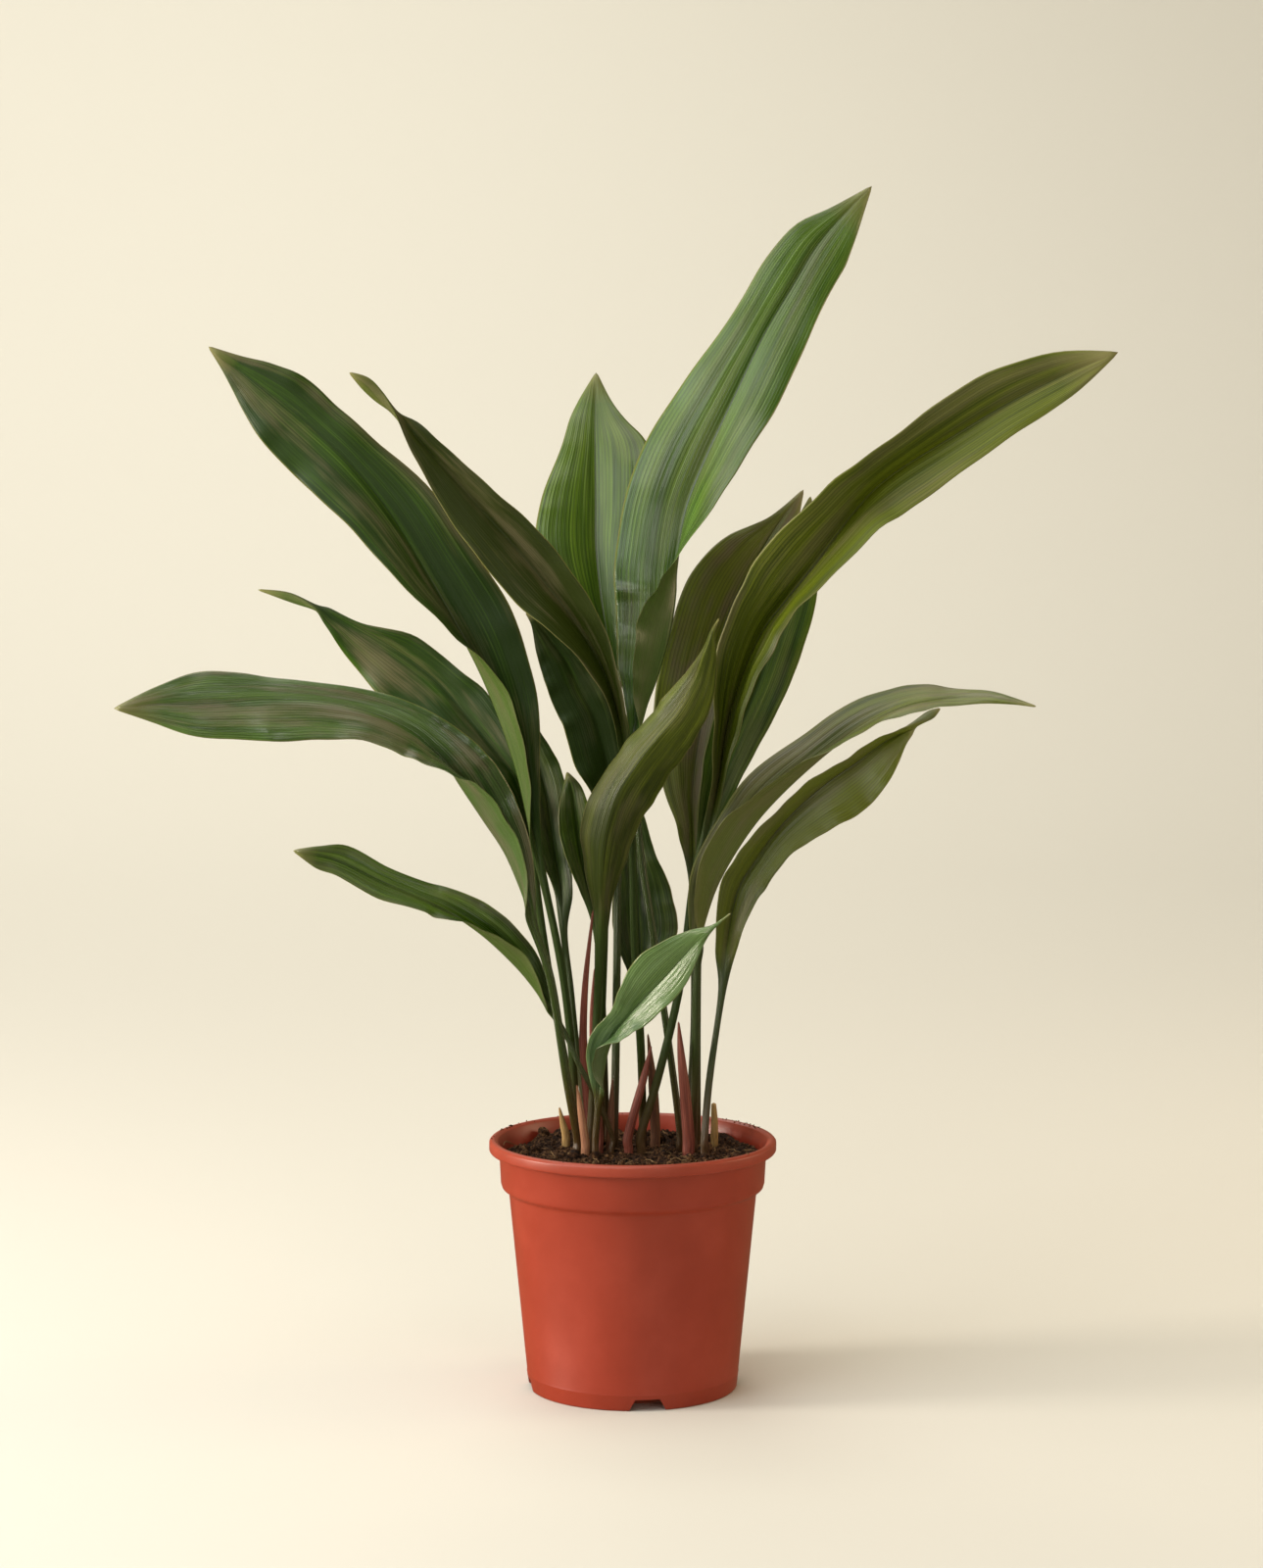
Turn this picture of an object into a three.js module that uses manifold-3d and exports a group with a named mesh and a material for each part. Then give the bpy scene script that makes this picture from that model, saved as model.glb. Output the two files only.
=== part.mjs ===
// A potted cast iron plant: strap leaves on thin stalks, in a terracotta coloured plastic nursery pot.
// Millimetres, +Z up, origin on the pot's axis at the level it stands on. -Y is the front.
import * as THREE from 'three';
import { mergeVertices } from 'three/addons/utils/BufferGeometryUtils.js';
import Module from 'manifold-3d';

const wasm = await Module();
wasm.setup();

// Driving sizes of the pot
const RIM_RADIUS = 85;
const POT_HEIGHT = 149;
const LIP_HEIGHT = 7.5;
const COLLAR_RADIUS = 79.1;
const COLLAR_FOOT = 121.5;
const BODY_TOP_RADIUS = 73.2;
const BASE_RADIUS = 62.2;
const WALL = 1.5;
const FOOT_HEIGHT = 6;
const PAD_RADIUS = 44;
const POT_SIDES = 40;

// Drainage: notches in the foot ring and round holes in the raised part of the floor
const NOTCHES = 4;
const NOTCH_TOP = 14.5;
const NOTCH_BOTTOM = 23;
const NOTCH_HEIGHT = 7;
const NOTCH_TURN = 8;
const DRAIN_HOLES = 8;
const DRAIN_RADIUS = 4;
const DRAIN_CIRCLE = 52.5;

// Driving sizes of what grows
const CLEARANCE = 0.35;
const SOIL_LEVEL = 139;
const STALK_FOOT = 101.3;
const DRILL_SPARE = 2.3;
const STALK_STRAIGHT = 2.8;
const BEND_START = 151;
const BLADE_THICKNESS = 0.66;
const RINGS_MORE_THAN_ROWS = 2;

const DEG = Math.PI / 180;
const FRONT = new THREE.Vector3(0, -1, 0);

const COLOURS = {
  pot: [0xb5533a, 0.42],
  soil: [0x2e221a, 0.95],
  rhizome: [0x7a6248, 0.85],
  leaf: [0x2f5a1e, 0.38],
  sheath: [0x6a2f2c, 0.6],
  husk: [0xb08a54, 0.8],
};

const plant = new THREE.Group();
plant.name = 'potted_cast_iron_plant';

function addPiece(name, geometry, finish) {
  const [color, roughness] = COLOURS[finish];
  const material = new THREE.MeshStandardMaterial({ color, roughness, metalness: 0 });
  const mesh = new THREE.Mesh(geometry, material);
  mesh.name = name;
  plant.add(mesh);
}

// Joining and cutting
function toSolid(geometry) {
  const bare = geometry.clone();
  bare.deleteAttribute('normal');
  bare.deleteAttribute('uv');
  const merged = mergeVertices(bare, 1e-4);
  return new wasm.Manifold(new wasm.Mesh({
    numProp: 3,
    vertProperties: merged.attributes.position.array,
    triVerts: new Uint32Array(merged.index.array),
  }));
}

function toGeometry(solid) {
  const mesh = solid.getMesh();
  const geometry = new THREE.BufferGeometry();
  geometry.setAttribute('position', new THREE.BufferAttribute(mesh.vertProperties, 3));
  geometry.setIndex(new THREE.BufferAttribute(mesh.triVerts, 1));
  return geometry;
}

// A closed skin over rings of equally many points, each end closed by a fan round its centre.
// The second half of each ring is split along the other diagonal, so that on a thin twisted blade
// the two faces bend along the same line and stay clear of each other.
function skinOverRings(rings) {
  const count = rings[0].length;
  const positions = [];
  const index = [];
  for (const ring of rings) {
    for (const p of ring) positions.push(p.x, p.y, p.z);
  }
  for (let r = 0; r < rings.length - 1; r += 1) {
    for (let i = 0; i < count; i += 1) {
      const a = r * count + i;
      const b = r * count + ((i + 1) % count);
      if (i < count / 2) index.push(a, b, b + count, a, b + count, a + count);
      else index.push(a, b, a + count, b, b + count, a + count);
    }
  }
  const ends = [[rings[0], 0, -1], [rings[rings.length - 1], (rings.length - 1) * count, 1]];
  for (const [ring, start, side] of ends) {
    const centre = new THREE.Vector3();
    for (const p of ring) centre.addScaledVector(p, 1 / count);
    const hub = positions.length / 3;
    positions.push(centre.x, centre.y, centre.z);
    for (let i = 0; i < count; i += 1) {
      const a = start + i;
      const b = start + ((i + 1) % count);
      if (side > 0) index.push(a, b, hub);
      else index.push(b, a, hub);
    }
  }
  const geometry = new THREE.BufferGeometry();
  geometry.setAttribute('position', new THREE.BufferAttribute(new Float32Array(positions), 3));
  geometry.setIndex(index);
  return geometry;
}

// One value of a smooth curve through the rows, at position t counted in rows
function through(rows, column, t) {
  const last = rows.length - 1;
  const i = Math.min(Math.floor(t), last - 1);
  const f = t - i;
  const at = (k) => rows[Math.max(0, Math.min(last, k))][column];
  const [p0, p1, p2, p3] = [at(i - 1), at(i), at(i + 1), at(i + 2)];
  const a = -p0 + 3 * p1 - 3 * p2 + p3;
  const b = 2 * p0 - 5 * p1 + 4 * p2 - p3;
  return 0.5 * (a * f * f * f + b * f * f + (p2 - p0) * f + 2 * p1);
}

// A leaf's rows run from its foot in the soil to its tip. Each row is
// [x, y, z of the midrib, left width, left lift, right width, right lift].
// Left and right are seen from the front, the lift is the angle in degrees by which that wing
// leaves the plane that faces the front: 0 lies in it, 90 points at the viewer, more folds it over
// the other wing, and less than 0 turns it away.
function stateAt(rows, t) {
  const [x, y, z, lw, ll, rw, rl] = [0, 1, 2, 3, 4, 5, 6].map((c) => through(rows, c, t));
  return { mid: new THREE.Vector3(x, y, z), lw: Math.max(lw, 0.4), ll, rw: Math.max(rw, 0.4), rl };
}

function frameAt(rows, t) {
  const step = 0.02;
  const last = rows.length - 1;
  const a = stateAt(rows, Math.max(t - step, 0)).mid;
  const b = stateAt(rows, Math.min(t + step, last)).mid;
  const along = b.sub(a).normalize();
  const side = new THREE.Vector3().crossVectors(along, FRONT).normalize();
  const face = new THREE.Vector3().crossVectors(side, along);
  return { side, face };
}

const mix = (a, b, k) => a + (b - a) * k;
const smooth = (low, high, v) => {
  const k = Math.min(Math.max((v - low) / (high - low), 0), 1);
  return k * k * (3 - 2 * k);
};

// The ring of a leaf: along the upper face from the left margin to the right one, and back below.
// A narrow ring is a round stalk, a wide one a thin blade with a rib along its underside.
function leafRing(rows, t) {
  const s = stateAt(rows, t);
  const { side, face } = frameAt(rows, t);
  const blade = smooth(2.7, 9, (s.lw + s.rw) / 2);
  const half = BLADE_THICKNESS / 2;
  const narrow = Math.min(1, (s.lw + s.rw) / 5);
  const edge = mix(0.8 * narrow, half, blade);
  const middle = mix(2.0 * narrow, half * 1.1, blade);
  const ribTop = mix(2.3 * narrow, half, blade);
  const ribUnder = mix(2.3 * narrow, 0.95, blade);
  const wing = (width, lift, hand) => {
    const out = side.clone().multiplyScalar(hand * Math.cos(lift * DEG));
    out.addScaledVector(face, Math.sin(lift * DEG));
    const up = side.clone().multiplyScalar(-hand * Math.sin(lift * DEG));
    up.addScaledVector(face, Math.cos(lift * DEG));
    return { out, up, width };
  };
  const left = wing(s.lw, s.ll, -1);
  const right = wing(s.rw, s.rl, 1);
  const crest = left.up.clone().add(right.up).normalize();
  const point = (w, k, h) => s.mid.clone().addScaledVector(w.out, w.width * k).addScaledVector(w.up, h);
  const over = [
    point(left, 1, edge),
    point(left, 0.55, middle),
    s.mid.clone().addScaledVector(crest, ribTop),
    point(right, 0.55, middle),
    point(right, 1, edge),
  ];
  const under = [
    point(right, 1, -edge),
    point(right, 0.55, -middle),
    s.mid.clone().addScaledVector(crest, -ribUnder),
    point(left, 0.55, -middle),
    point(left, 1, -edge),
  ];
  return [...over, ...under];
}

function leafSolid(rows) {
  const last = rows.length - 1;
  const ringCount = rows.length + RINGS_MORE_THAN_ROWS;
  const rings = [];
  for (let i = 0; i <= ringCount; i += 1) rings.push(leafRing(rows, (i / ringCount) * last));
  return skinOverRings(rings);
}

// The plain upright hole in the soil that a stalk stands in
const DRILL_SIDES = 8;
function stalkHole(rows) {
  const [x, y, foot_z, r] = rows[0];
  const reach = (Math.max(r, 2.3 * Math.min(1, r / 2.5)) + CLEARANCE) / Math.cos(Math.PI / DRILL_SIDES);
  const bottom = foot_z - DRILL_SPARE;
  const top = SOIL_LEVEL + STALK_STRAIGHT;
  const drill = new THREE.CylinderGeometry(reach, reach, top - bottom, DRILL_SIDES);
  drill.rotateX(Math.PI / 2);
  drill.rotateZ(Math.PI / DRILL_SIDES);
  drill.translate(x, y, (top + bottom) / 2);
  return drill;
}

// The first rows of everything that stands in the soil: upright to a little above it
const foot = (x, y, r, bend = BEND_START) => [STALK_FOOT, 131, SOIL_LEVEL + STALK_STRAIGHT, bend]
  .map((z) => [x, y, z, r, 0, r, 0]);

const LEAVES = {
  leaf_left_high: [
    ...foot(-33, 13, 2.4),
    [-37, 13, 207, 2.3, 0, 2.3, 0],
    [-43, 13, 253, 2.3, 0, 2.3, 0],
    [-54, 14, 306, 2.8, 20, 2.8, 20],
    [-62, 16, 338, 7, 105, 8, 20],
    [-68, 18, 364, 12, 125, 14, 12],
    [-77, 20, 392, 17, 130, 24, 12],
    [-89, 24, 421, 20, 112, 30, 8],
    [-102, 28, 446, 22, 84, 34, 5],
    [-122, 34, 481, 24, 50, 31, 0],
    [-144, 40, 517, 26, 30, 28, -8],
    [-168, 46, 547, 29, 12, 21, -18],
    [-190, 52, 567, 28, 8, 20, -18],
    [-207, 56, 581, 25, 8, 21, -14],
    [-224, 60, 594, 17, 5, 15, -10],
    [-239, 64, 605, 8, 0, 7, 0],
    [-254, 68, 616, 0.5, 0, 0.5, 0],
  ],
  leaf_left_twisted: [
    ...foot(6, 28, 2.4),
    [5, 20, 193, 2.3, 0, 2.3, 0],
    [1, 8, 266, 2.3, 0, 2.3, 0],
    [0, -4, 319, 2.3, 0, 2.3, 0],
    [-3, -12, 366, 3, 20, 3, 20],
    [-8, -15, 398, 7, 62, 8, 52],
    [-17, -18, 427, 13, 62, 13, 48],
    [-33, -20, 455, 19, 45, 17, 35],
    [-51, -22, 479, 22, 27, 18, 22],
    [-71, -24, 503, 22, 20, 17, 22],
    [-91, -26, 525, 18.5, 20, 14.5, 25],
    [-110, -28, 546, 12.5, 20, 10.5, 22],
    [-125, -30, 563, 7.5, 40, 7.5, 0],
    [-136, -32, 576, 4.5, 88, 4.5, -88],
    [-145, -33, 585, 4.5, 140, 4.5, -140],
    [-153, -34, 593, 4, 160, 4, -160],
    [-162, -35, 599, 0.5, 160, 0.5, -160],
  ],
  leaf_centre_shaded: [
    ...foot(-19, 31, 2.3),
    [-19, 26, 200, 2.3, 0, 2.3, 0],
    [-17, 21, 262, 2.3, 0, 2.3, 0],
    [-16, 17, 320, 2.6, 0, 2.6, 0],
    [-15, 15, 346, 7, 15, 5, 15],
    [-15.5, 14, 369, 18, 12, 9.5, 12],
    [-23, 14, 397, 19, 12, 12, 15],
    [-31, 15, 413, 18, 10, 13.5, 15],
    [-38.5, 16, 429, 16.5, 10, 9.5, 15],
    [-47, 17, 441, 12, 10, 7, 10],
    [-56.5, 18, 453, 4, 0, 3.5, 0],
    [-63, 19, 459, 0.5, 0, 0.5, 0],
  ],
  leaf_back_upright: [
    ...foot(-11, 20, 2.5),
    [-10, 24, 204, 2.4, 0, 2.4, 0],
    [-9, 32, 298, 2.3, 0, 2.3, 0],
    [-9, 44, 379, 2.4, 0, 2.4, 0],
    [-10, 52, 419, 5, 50, 5, 50],
    [-14.5, 58, 440, 15, 42, 14, 42],
    [-19, 66, 466, 29, 27, 24, 27],
    [-22, 76, 495, 37, 15, 30, 18],
    [-22.5, 88, 524, 33, 10, 34, 12],
    [-23, 102, 554, 21, 10, 33, 10],
    [-23, 116, 577.5, 13.5, 5, 14, 5],
    [-22.5, 130, 601.5, 0.5, 0, 0.5, 0],
  ],
  leaf_right_tallest: [
    ...foot(28, 15, 2.2),
    [23.5, 14, 188, 2.1, 0, 2.1, 0],
    [12, 14, 269, 2.1, 0, 2.1, 0],
    [4, 14, 323, 2.1, 0, 2.1, 0],
    [1.5, 16, 372, 2.6, 10, 2.6, 50],
    [7, 18, 401, 12, 5, 11, 120],
    [13, 20, 418, 23, 0, 20, 135],
    [19.5, 22, 439, 30, -5, 26, 138],
    [23, 25, 455, 33.5, -5, 28, 130],
    [25, 28, 470, 36, -5, 27, 115],
    [26, 31, 486, 37, -5, 27, 92],
    [31.5, 36, 519, 37, -8, 26, 60],
    [44, 44, 551, 37, -12, 26, 38],
    [61, 54, 587, 31, -12, 27, 22],
    [79, 64, 624, 23, -12, 26, 15],
    [97.5, 74, 655, 23, -10, 22, 12],
    [111, 82, 677, 18.5, -8, 21, 10],
    [126.5, 90, 695, 8, 0, 13, 5],
    [144.5, 98, 713, 0.5, 0, 0.5, 0],
  ],
  leaf_right_long: [
    ...foot(5, 4, 2.6),
    [15, 6, 184, 2.5, 0, 2.5, 0],
    [28, 8, 239, 2.4, 0, 2.4, 0],
    [36, 8, 301, 2.4, 0, 2.4, 0],
    [44, 6, 330, 4, 30, 4, 30],
    [50, 2, 359, 9, 66, 9, 68],
    [55, -4, 394, 17, 60, 16, 66],
    [63.5, -8, 423, 24, 47, 22, 68],
    [75, -12, 449, 28, 35, 24, 68],
    [88, -14, 466.5, 31, 28, 25, 72],
    [105.5, -18, 489, 33, 26, 26, 69],
    [129, -24, 521, 32, 45, 27, 52],
    [148, -28, 540, 29, 50, 26, 36],
    [179.5, -36, 560.5, 26, 38, 23, 30],
    [214, -44, 581.5, 23, 22, 18, 26],
    [245, -52, 597.5, 14.5, 12, 13, 15],
    [274, -60, 610, 0.5, 0, 0.5, 0],
  ],
  leaf_right_behind: [
    ...foot(34, 37, 2.3),
    [37, 40, 208, 2.3, 0, 2.3, 0],
    [37, 42, 261, 2.3, 0, 2.3, 0],
    [36, 42, 300, 3, 20, 3, 20],
    [36, 42, 326, 11, 38, 9, 30],
    [36, 44, 355, 21, 25, 17, 22],
    [40, 48, 384, 30, 15, 23, 18],
    [46, 54, 413, 32, 10, 26, 15],
    [52, 62, 439, 31, 8, 28, 15],
    [62, 72, 465.5, 31, 8, 27, 15],
    [75, 84, 489, 23, 8, 24, 15],
    [88, 96, 509, 7, 5, 14, 10],
    [104.5, 108, 530, 0.5, 0, 0.5, 0],
  ],
  leaf_right_inner: [
    ...foot(38.5, 24, 2.3),
    [38.5, 27, 208, 2.2, 0, 2.2, 0],
    [39, 29, 261, 2.2, 0, 2.2, 0],
    [40, 29, 300, 2.4, 0, 2.4, 0],
    [42.5, 28, 326, 5, 30, 5, 30],
    [50, 28, 355, 12, 30, 12, 25],
    [61, 29, 384, 17, 20, 15, 20],
    [73, 31, 413, 20, 15, 18, 15],
    [82, 34, 439, 21, 12, 19, 12],
    [91, 38, 465, 20, 10, 18, 10],
    [98, 42, 489, 15, 8, 13, 8],
    [103, 46, 510, 7, 5, 6, 5],
    [106, 50, 527, 0.5, 0, 0.5, 0],
  ],
  leaf_front_pointed: [
    ...foot(-25, 4, 2.5),
    [-23, 3, 187, 2.4, 0, 2.4, 0],
    [-20, -6, 246, 2.6, 0, 2.6, 0],
    [-18, -18, 282, 5.5, -30, 5.5, -35],
    [-18, -26, 305, 12, -40, 13, -35],
    [-16, -33, 329, 18, -32, 19, -32],
    [-9, -40, 355, 17, -35, 23, -30],
    [2.5, -46, 375, 16, -40, 23, -30],
    [15, -52, 391.5, 15, -38, 21, -30],
    [27, -58, 406, 14, -30, 17, -25],
    [37, -66, 424.5, 9, -20, 11, -20],
    [42, -74, 442, 3, -10, 5.5, -10],
    [45, -79, 453, 1.5, 0, 1.5, 0],
    [48.5, -84, 461, 0.5, 0, 0.5, 0],
  ],
  leaf_left_small: [
    ...foot(-12.5, 1, 1.6),
    [-24, -4, 179, 1.6, 0, 1.6, 0],
    [-32, -4, 194, 1.6, 0, 1.6, 0],
    [-39, -3, 210, 1.6, 0, 1.6, 0],
    [-46.5, -2, 223, 2.4, 40, 2.4, 20],
    [-53, -3, 232, 6, 105, 6, 18],
    [-65.5, -5, 249, 12, 132, 13.5, 8],
    [-83, -8, 267, 14, 122, 17, 6],
    [-98, -11, 279, 12, 98, 16, 5],
    [-112, -13, 288, 11, 65, 13, 0],
    [-124, -15, 294, 9, 45, 10, -8],
    [-146, -18, 304, 10.5, 25, 9, -10],
    [-169, -22, 316, 9, 20, 10, -10],
    [-183, -26, 321, 8, 5, 5, 0],
    [-197, -30, 323.5, 0.5, 0, 0.5, 0],
  ],
  leaf_front_glossy: [
    ...foot(-22, -9, 2.2),
    [-20, -11, 172, 2.6, 0, 2.6, 20],
    [-17.5, -14, 190, 9, 12, 9, 120],
    [-14.5, -18, 205, 13, 12, 13, 125],
    [-9, -23, 217, 12, 15, 13, 85],
    [-3, -29, 226, 11, 22, 12, 50],
    [5, -35, 236, 16, 18, 13, 30],
    [21, -45, 254.5, 20, 10, 12.5, 20],
    [37, -55, 274, 9, 5, 4.5, 5],
    [45.5, -62, 283, 1.5, 0, 1.5, 0],
    [56, -68, 292, 0.5, 0, 0.5, 0],
  ],
  leaf_left_back: [
    ...foot(-33, 31, 2.3),
    [-42, 32, 197, 2.3, 0, 2.3, 0],
    [-50.5, 36, 244, 2.3, 0, 2.3, 0],
    [-58.5, 40, 297, 2.8, 20, 2.8, 20],
    [-63, 42, 329, 9, 45, 6, 45],
    [-69, 44, 355, 20, 38, 10, 38],
    [-77.5, 48, 368.5, 26, 28, 15, 28],
    [-100, 60, 395, 28, 15, 20, 20],
    [-117.5, 68, 415, 30, 5, 15, 20],
    [-140.5, 76, 432, 28, 5, 14, 20],
    [-165, 84, 446, 19, 5, 4, 25],
    [-182, 90, 454, 9, 30, 3, 0],
    [-193, 94, 458.5, 4.5, 85, 4, -85],
    [-211, 99, 465, 3, 150, 3, -150],
    [-229.5, 104, 469, 0.5, 150, 0.5, -150],
  ],
  leaf_left_level: [
    ...foot(-33, -2, 2.6),
    [-39, -8, 186, 2.5, 0, 2.5, 0],
    [-48, -14, 245, 2.5, 0, 2.5, 0],
    [-58, -17, 277, 3, 30, 3, 20],
    [-64, -19, 296.5, 8, 110, 8, 12],
    [-74, -21, 321, 15, 132, 16, 8],
    [-86, -23, 340, 19, 132, 22, 6],
    [-99, -26, 360, 20, 118, 24, 5],
    [-106, -28, 371, 20, 95, 22, 3],
    [-117, -30, 384, 20, 62, 18, 0],
    [-129, -32, 394, 20, 50, 15, -5],
    [-150, -36, 404, 20, 38, 13, -15],
    [-178, -42, 411, 23, 25, 11, -20],
    [-205, -48, 413, 25, 15, 13, -20],
    [-227, -52, 412, 22, 8, 17, -15],
    [-249, -57, 411, 19, 5, 18, -10],
    [-271, -62, 411, 11.5, 0, 10, 0],
    [-294.5, -68, 409, 0.5, 0, 0.5, 0],
  ],
  leaf_left_hidden: [
    ...foot(-26, 24, 2.3),
    [-33, 29, 192, 2.2, 0, 2.2, 0],
    [-37.5, 35, 233, 2.2, 0, 2.2, 0],
    [-41.5, 43, 267, 2.4, 0, 2.4, 0],
    [-43, 50, 290, 5, 30, 8, 25],
    [-46, 55, 308, 10, 30, 9, 20],
    [-50, 61, 331, 15, 25, 12, 15],
    [-54, 66, 352, 17, 20, 14, 15],
    [-60, 70, 370, 15, 18, 12, 15],
    [-67, 74, 386, 9, 15, 8, 15],
    [-76, 78, 402, 0.5, 0, 0.5, 0],
  ],
  leaf_centre_small: [
    ...foot(-16.2, 41.7, 2.2),
    [-16.8, 39, 176, 2.1, 0, 2.1, 0],
    [-17.7, 35.5, 208, 2.1, 0, 2.1, 0],
    [-19, 32.5, 243, 2.1, 0, 2.1, 0],
    [-22, 30, 274, 3, 20, 3, 20],
    [-27, 30, 295, 6, 30, 8, 20],
    [-31, 31, 315, 10, 22, 10.5, 22],
    [-34, 32, 336, 11, 18, 10, 18],
    [-36.3, 34, 352.5, 6, 10, 6.5, 10],
    [-39.2, 36, 363.3, 0.5, 0, 0.5, 0],
  ],
  leaf_centre_dark: [
    ...foot(6, 44, 2.2),
    [5.5, 46, 189, 2.1, 0, 2.1, 0],
    [5, 50, 224, 2.6, 10, 2.6, 10],
    [5, 53, 244, 11, 28, 15, 22],
    [4, 57, 265, 17, 20, 24, 15],
    [2.5, 62, 288, 15, 15, 21, 15],
    [-0.5, 67, 311, 13, 12, 14, 12],
    [-4.5, 74, 340, 9, 10, 9, 10],
    [-8, 80, 362, 0.5, 0, 0.5, 0],
  ],
  leaf_right_arched: [
    ...foot(36, 8, 2.4),
    [37, 2, 184.5, 2.3, 0, 2.3, 0],
    [37.5, -6, 238, 2.3, 0, 2.3, 0],
    [38.5, -9, 260, 3, 15, 3, 40],
    [41.5, -12, 278, 9, 0, 9, 115],
    [50, -17, 304, 17, -5, 17, 145],
    [66, -22, 332, 19, -5, 20, 145],
    [83, -28, 353.5, 21, -8, 21, 125],
    [108, -37, 378, 17, -15, 19, 105],
    [131, -46, 396.5, 16, -25, 16, 88],
    [152, -56, 408.5, 13, -30, 13, 75],
    [168, -64, 413.5, 10, -35, 9, 60],
    [185, -72, 415.5, 6, -40, 6, 45],
    [200, -82, 416.5, 4, -30, 4, 30],
    [213.5, -92, 415, 2, 0, 2, 0],
    [225.5, -100, 412.5, 0.5, 0, 0.5, 0],
  ],
  leaf_right_low: [
    ...foot(42.5, -5, 2.3),
    [45.5, 1, 184.5, 2.1, 0, 2.1, 0],
    [53, 8, 236, 2.4, 0, 2.4, 0],
    [56, 11, 265, 9, 33, 8, 33],
    [62, 14, 294, 14, 38, 15, 32],
    [72, 16, 311, 15, 35, 16, 35],
    [85.5, 18, 330, 13, 45, 19, 33],
    [101, 21, 346, 13, 45, 24, 27],
    [117, 24, 359, 11, 48, 27, 23],
    [133.5, 28, 370, 10, 52, 24, 23],
    [149, 32, 381, 8, 55, 16, 28],
    [162.5, 36, 388, 5, 62, 5.5, 20],
    [170, 40, 392.5, 3.5, 90, 3.5, -90],
    [178, 43, 397, 3, 140, 3, -140],
    [184, 46, 400.5, 0.5, 160, 0.5, -160],
  ],
};

// Young spear, the papery scales at the foot of the stalks, and two dry stubs of cut leaves
const SHEATHS = {
  red_spear: [
    ...foot(-26, 14, 2.3),
    [-29, 15, 195, 2.6, 0, 2.6, 0],
    [-29.5, 16, 211, 2.3, 0, 2.3, 0],
    [-28, 17, 241, 1.8, 0, 1.8, 0],
    [-23.5, 18, 283, 0.5, 0, 0.5, 0],
  ],
  red_scale_left: [
    ...foot(-19.5, 11, 2),
    [-23, 11, 187, 2, 0, 2, 0],
    [-24, 8, 220, 1.6, 0, 1.6, 0],
    [-22.5, 4, 250, 0.5, 0, 0.5, 0],
  ],
  pale_scale_left: [
    ...foot(-28, -8, 2.6, 148),
    [-30.5, -7.5, 165, 2, 0, 2, 0],
    [-33, -7, 182, 0.5, 0, 0.5, 0],
  ],
  brown_scale_centre: [
    ...foot(-13.5, 13, 2.4, 146),
    [-13, 14, 160, 2.2, 0, 2.2, 0],
    [-12, 16, 182, 0.5, 0, 0.5, 0],
  ],
  brown_scale_right: [
    ...foot(13.5, 27, 3),
    [12, 24.5, 178, 2.7, 0, 2.7, 0],
    [9, 21.5, 208, 0.5, 0, 0.5, 0],
  ],
  purple_scale_centre: [
    ...foot(-2.5, 2, 2.8),
    [6.5, 4, 184, 2.2, 0, 2.2, 0],
    [11, 6, 203, 0.5, 0, 0.5, 0],
  ],
  red_scale_right: [
    ...foot(33, -3.5, 3.6),
    [31, -3.5, 175, 3.3, 0, 3.3, 0],
    [28.5, -3, 200, 2.2, 0, 2.2, 0],
    [27, -2, 219, 0.5, 0, 0.5, 0],
  ],
};

const STUBS = {
  dry_stub_left: [
    ...foot(-40, 24, 2.5, 146),
    [-41.5, 24, 152, 2, 0, 2, 0],
    [-44, 24, 163, 0.5, 0, 0.5, 0],
  ],
  dry_stub_right: [
    ...foot(49, 28, 2.3, 146),
    [49, 28, 154, 2.1, 0, 2.1, 0],
    [48.5, 28, 165, 1.4, 0, 1.4, 0],
  ],
};

// The rhizome creeps sideways under the stalks. Rows are [x, y, z, radius].
const RHIZOME = [
  [-46, 6, 93, 3],
  [-40, 7, 93, 6],
  [-24, 9, 92.5, 6.6],
  [-8, 13, 93, 5.8],
  [10, 16, 92.5, 6.8],
  [28, 12, 93, 6],
  [42, 8, 93, 6.4],
  [49, 6, 93.5, 3],
];
const RHIZOME_SIDES = 8;
const RHIZOME_RINGS = 18;
function rhizomeSolid(extra) {
  const rings = [];
  const last = RHIZOME.length - 1;
  for (let i = 0; i <= RHIZOME_RINGS; i += 1) {
    const t = (i / RHIZOME_RINGS) * last;
    const [x, y, z, r] = [0, 1, 2, 3].map((c) => through(RHIZOME, c, t));
    const atEnd = i === 0 ? -1 : i === RHIZOME_RINGS ? 1 : 0;
    const radius = r * (1 + 0.06 * Math.cos(i * 2.1)) + extra;
    const ring = [];
    for (let k = 0; k < RHIZOME_SIDES; k += 1) {
      const a = (k / RHIZOME_SIDES) * 2 * Math.PI;
      ring.push(new THREE.Vector3(x + atEnd * extra, y + radius * Math.cos(a), z + radius * Math.sin(a)));
    }
    rings.push(ring);
  }
  return skinOverRings(rings);
}

// The pot: its outline from the middle of the underside up to the rim and down the inside
const INSIDE = [
  [RIM_RADIUS - 5.2, POT_HEIGHT - 1.2],
  [COLLAR_RADIUS - WALL - 0.3, POT_HEIGHT - LIP_HEIGHT],
  [COLLAR_RADIUS - WALL - 1.2, COLLAR_FOOT + 1],
  [BODY_TOP_RADIUS - WALL + 0.4, COLLAR_FOOT - 4],
  [BODY_TOP_RADIUS - WALL, COLLAR_FOOT - 8],
  [BASE_RADIUS - WALL + 0.7, FOOT_HEIGHT + 4],
  [BASE_RADIUS - WALL - 2, FOOT_HEIGHT + WALL],
  [PAD_RADIUS + 2.4, FOOT_HEIGHT + WALL],
  [PAD_RADIUS + 0.4, WALL],
];

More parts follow.
